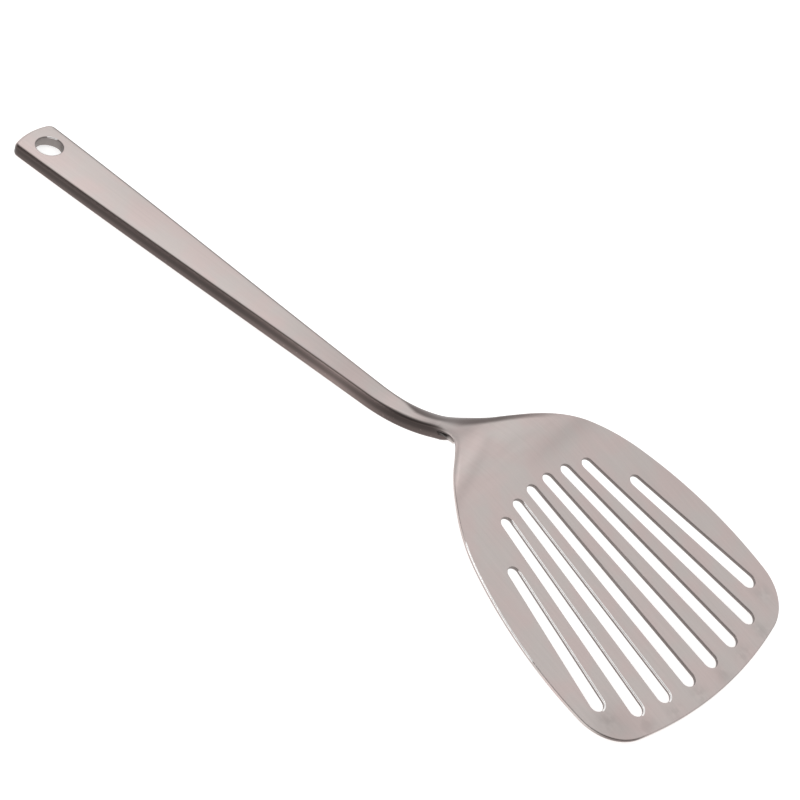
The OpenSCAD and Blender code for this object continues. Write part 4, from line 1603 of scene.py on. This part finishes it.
# Painted light along the bar: lighter at its end and at the bend
BAR_FACE_SHADES: Shades = (
    (-0.229, 1.12), (-0.205, 1.12), (-0.180, 1.04), (-0.115, 1.05), (-0.095, 0.98), (-0.078, 0.9),
    (-0.062, 0.95), (-0.048, 1.2), (-0.038, 1.0))
# Painted shade on the bar's sides, lighter around its middle, where they reflect more light
BAR_FLANK_SHADES: Shades = (
    (-0.229, 1.1), (-0.125, 1.05), (-0.098, 1.5), (-0.080, 2.1), (-0.066, 1.4), (-0.054, 0.85),
    (-0.036, 0.9))


def aim(azimuth: float, elevation: float) -> Vector:
    """Unit vector towards an azimuth and an elevation, both in degrees."""
    around, above = math.radians(azimuth), math.radians(elevation)
    flat = math.cos(above)
    return Vector((flat * math.cos(around), flat * math.sin(around), math.sin(above)))


@dataclass
class Viewpoint:
    """The camera: where it looks, from how far, from which side, and how it is rolled, in degrees."""

    target: Triple = (0.011592, 0.005051, 0.010)
    distance: float = 1.21752
    azimuth: float = -64.3481
    elevation: float = 42.6684
    roll: float = 20.5279
    lens: float = 161.845
    sensor: float = 36.0
    clip: Span = (0.01, 50.0)

    def build(self) -> None:
        """Makes the scene's camera.

        Its back axis points from the target to the eye; its right axis is level and square to
        that, and the roll turns right and up about the back axis.
        """
        back = aim(self.azimuth, self.elevation)
        level = Vector((0.0, 0.0, 1.0)).cross(back).normalized()
        roll = math.radians(self.roll)
        right = math.cos(roll) * level + math.sin(roll) * back.cross(level)
        data = bpy.data.cameras.new("camera")
        data.lens = self.lens
        data.sensor_width = self.sensor
        data.clip_start, data.clip_end = self.clip
        eye = put("camera", data)
        turn = Matrix((right, back.cross(right), back)).transposed().to_4x4()
        eye.matrix_world = Matrix.Translation(Vector(self.target) + self.distance * back) @ turn
        bpy.context.scene.camera = eye


@dataclass
class Softbox:
    """A large soft lamp that faces the turner, from an azimuth and an elevation in degrees."""

    name: str
    azimuth: float
    elevation: float
    distance: float
    width: float
    height: float
    radiance: float

    def build(self) -> None:
        """Makes the lamp: its power is pi times its area times the radiance of its face."""
        data = bpy.data.lights.new(self.name, "AREA")
        data.shape = "RECTANGLE"
        data.size, data.size_y = self.width, self.height
        data.energy = math.pi * self.width * self.height * self.radiance
        away = aim(self.azimuth, self.elevation)
        turn = away.to_track_quat("Z", "Y").to_matrix().to_4x4()
        put(self.name, data).matrix_world = Matrix.Translation(self.distance * away) @ turn


LAMPS = (
    Softbox("key softbox", azimuth=96.0, elevation=46.0, distance=0.95, width=1.1, height=0.8,
            radiance=0.52),
    Softbox("left softbox", azimuth=146.0, elevation=38.0, distance=1.0, width=0.5, height=0.6,
            radiance=0.55),
    Softbox("top softbox", azimuth=0.0, elevation=88.0, distance=1.1, width=0.42, height=0.42,
            radiance=1.6),
    Softbox("rim softbox", azimuth=-115.0, elevation=41.0, distance=1.0, width=0.24, height=0.24,
            radiance=6.0),
)


def seen_rays(pen: Sketch) -> Socket:
    """1 for rays from the camera, off metal or through glass, and 0 for the rest."""
    path = pen.node("ShaderNodeLightPath")
    seen = pen.math("MAXIMUM", path.outputs["Is Camera Ray"], path.outputs["Is Glossy Ray"])
    return pen.math("MAXIMUM", seen, path.outputs["Is Transmission Ray"])


@dataclass
class Studio:
    """The pale table, the pale room and the lamps."""

    table_size: float = 8.0
    white: tuple[float, float, float, float] = (1.0, 1.0, 1.0, 1.0)
    paper: Triple = (0.74, 0.735, 0.73)
    glow: float = 0.7
    ambient: float = 0.5
    room_low: float = 1.0
    room_dark: float = 0.3
    room_bright: float = 0.5
    toward_span: Span = (-0.3, 0.75)
    upward_span: Span = (0.12, 0.34)

    def build(self) -> None:
        """Makes the table, the room and the lamps."""
        self._table()
        self._room()
        for lamp in LAMPS:
            lamp.build()

    def _table(self) -> None:
        """A flat square at height 0, painted pale; what is seen of it also glows a little."""
        edge = self.table_size / 2.0
        mesh = bpy.data.meshes.new("table")
        mesh.from_pydata([(-edge, -edge, 0.0), (edge, -edge, 0.0), (edge, edge, 0.0),
                          (-edge, edge, 0.0)], [], [(0, 1, 2, 3)])
        table = put("table", mesh)
        paint = bpy.data.materials.new("pale table")
        paint.use_nodes = True
        pen = Sketch(paint.node_tree)
        matt = pen.node("ShaderNodeBsdfDiffuse")
        matt.inputs["Color"].default_value = (*self.paper, 1.0)
        glow = pen.node("ShaderNodeEmission")
        glow.inputs["Color"].default_value = self.white
        pen.join(pen.math("MULTIPLY", seen_rays(pen), self.glow), glow.inputs["Strength"])
        both = pen.node("ShaderNodeAddShader")
        pen.join(matt.outputs[0], both.inputs[0])
        pen.join(glow.outputs[0], both.inputs[1])
        pen.join(both.outputs[0], pen.node("ShaderNodeOutputMaterial").inputs["Surface"])
        mesh.materials.append(paint)

    def _room(self) -> None:
        """A room that is white near the horizon and dims upward on the side away from the lamps."""
        world = bpy.data.worlds.new("pale room")
        world.use_nodes = True
        bpy.context.scene.world = world
        pen = Sketch(world.node_tree)
        _, y, z = pen.split(pen.node("ShaderNodeTexCoord").outputs["Generated"])
        toward = pen.ramp(y, *self.toward_span, self.room_dark, self.room_bright)
        upward = pen.ramp(z, *self.upward_span)
        level = pen.math("ADD", pen.math("MULTIPLY", toward, upward),
                         pen.math("MULTIPLY", pen.math("SUBTRACT", 1.0, upward), self.room_low))
        seen = seen_rays(pen)
        strength = pen.math("ADD", pen.math("MULTIPLY", seen, level),
                            pen.math("MULTIPLY", pen.math("SUBTRACT", 1.0, seen), self.ambient))
        shade = pen.node("ShaderNodeBackground")
        shade.inputs["Color"].default_value = self.white
        pen.join(strength, shade.inputs["Strength"])
        pen.join(shade.outputs[0], pen.node("ShaderNodeOutputWorld").inputs["Surface"])


def main() -> None:
    """Builds the turner, its studio and its camera."""
    logging.basicConfig(level=logging.INFO, format="%(name)s: %(message)s")
    bpy.context.scene.view_settings.view_transform = "Standard"
    groups = Groups()
    satin = SteelFinish("satin steel", groups, face=BLADE_FACE, lean=BLADE_LEAN, bands=0.05,
                        face_shades=BLADE_FACE_SHADES)
    bar = SteelFinish("satin bar steel", groups, along=30.0, lean=BAR_LEAN,
                      face_shades=BAR_FACE_SHADES, flank_shades=BAR_FLANK_SHADES)
    bead = SteelFinish("weld bead", groups, face=(0.56, 0.49, 0.47), roughness=0.4,
                       flank_shades=BEAD_FLANK_SHADES)
    for piece in (Blade().build(satin), Handle().build(bar), NeckWeld().build(bead)):
        log.info("%s made, %d points", piece.name, len(piece.data.vertices))
    Studio().build()
    Viewpoint().build()
    bpy.context.view_layer.update()


if __name__ == "__main__":
    main()
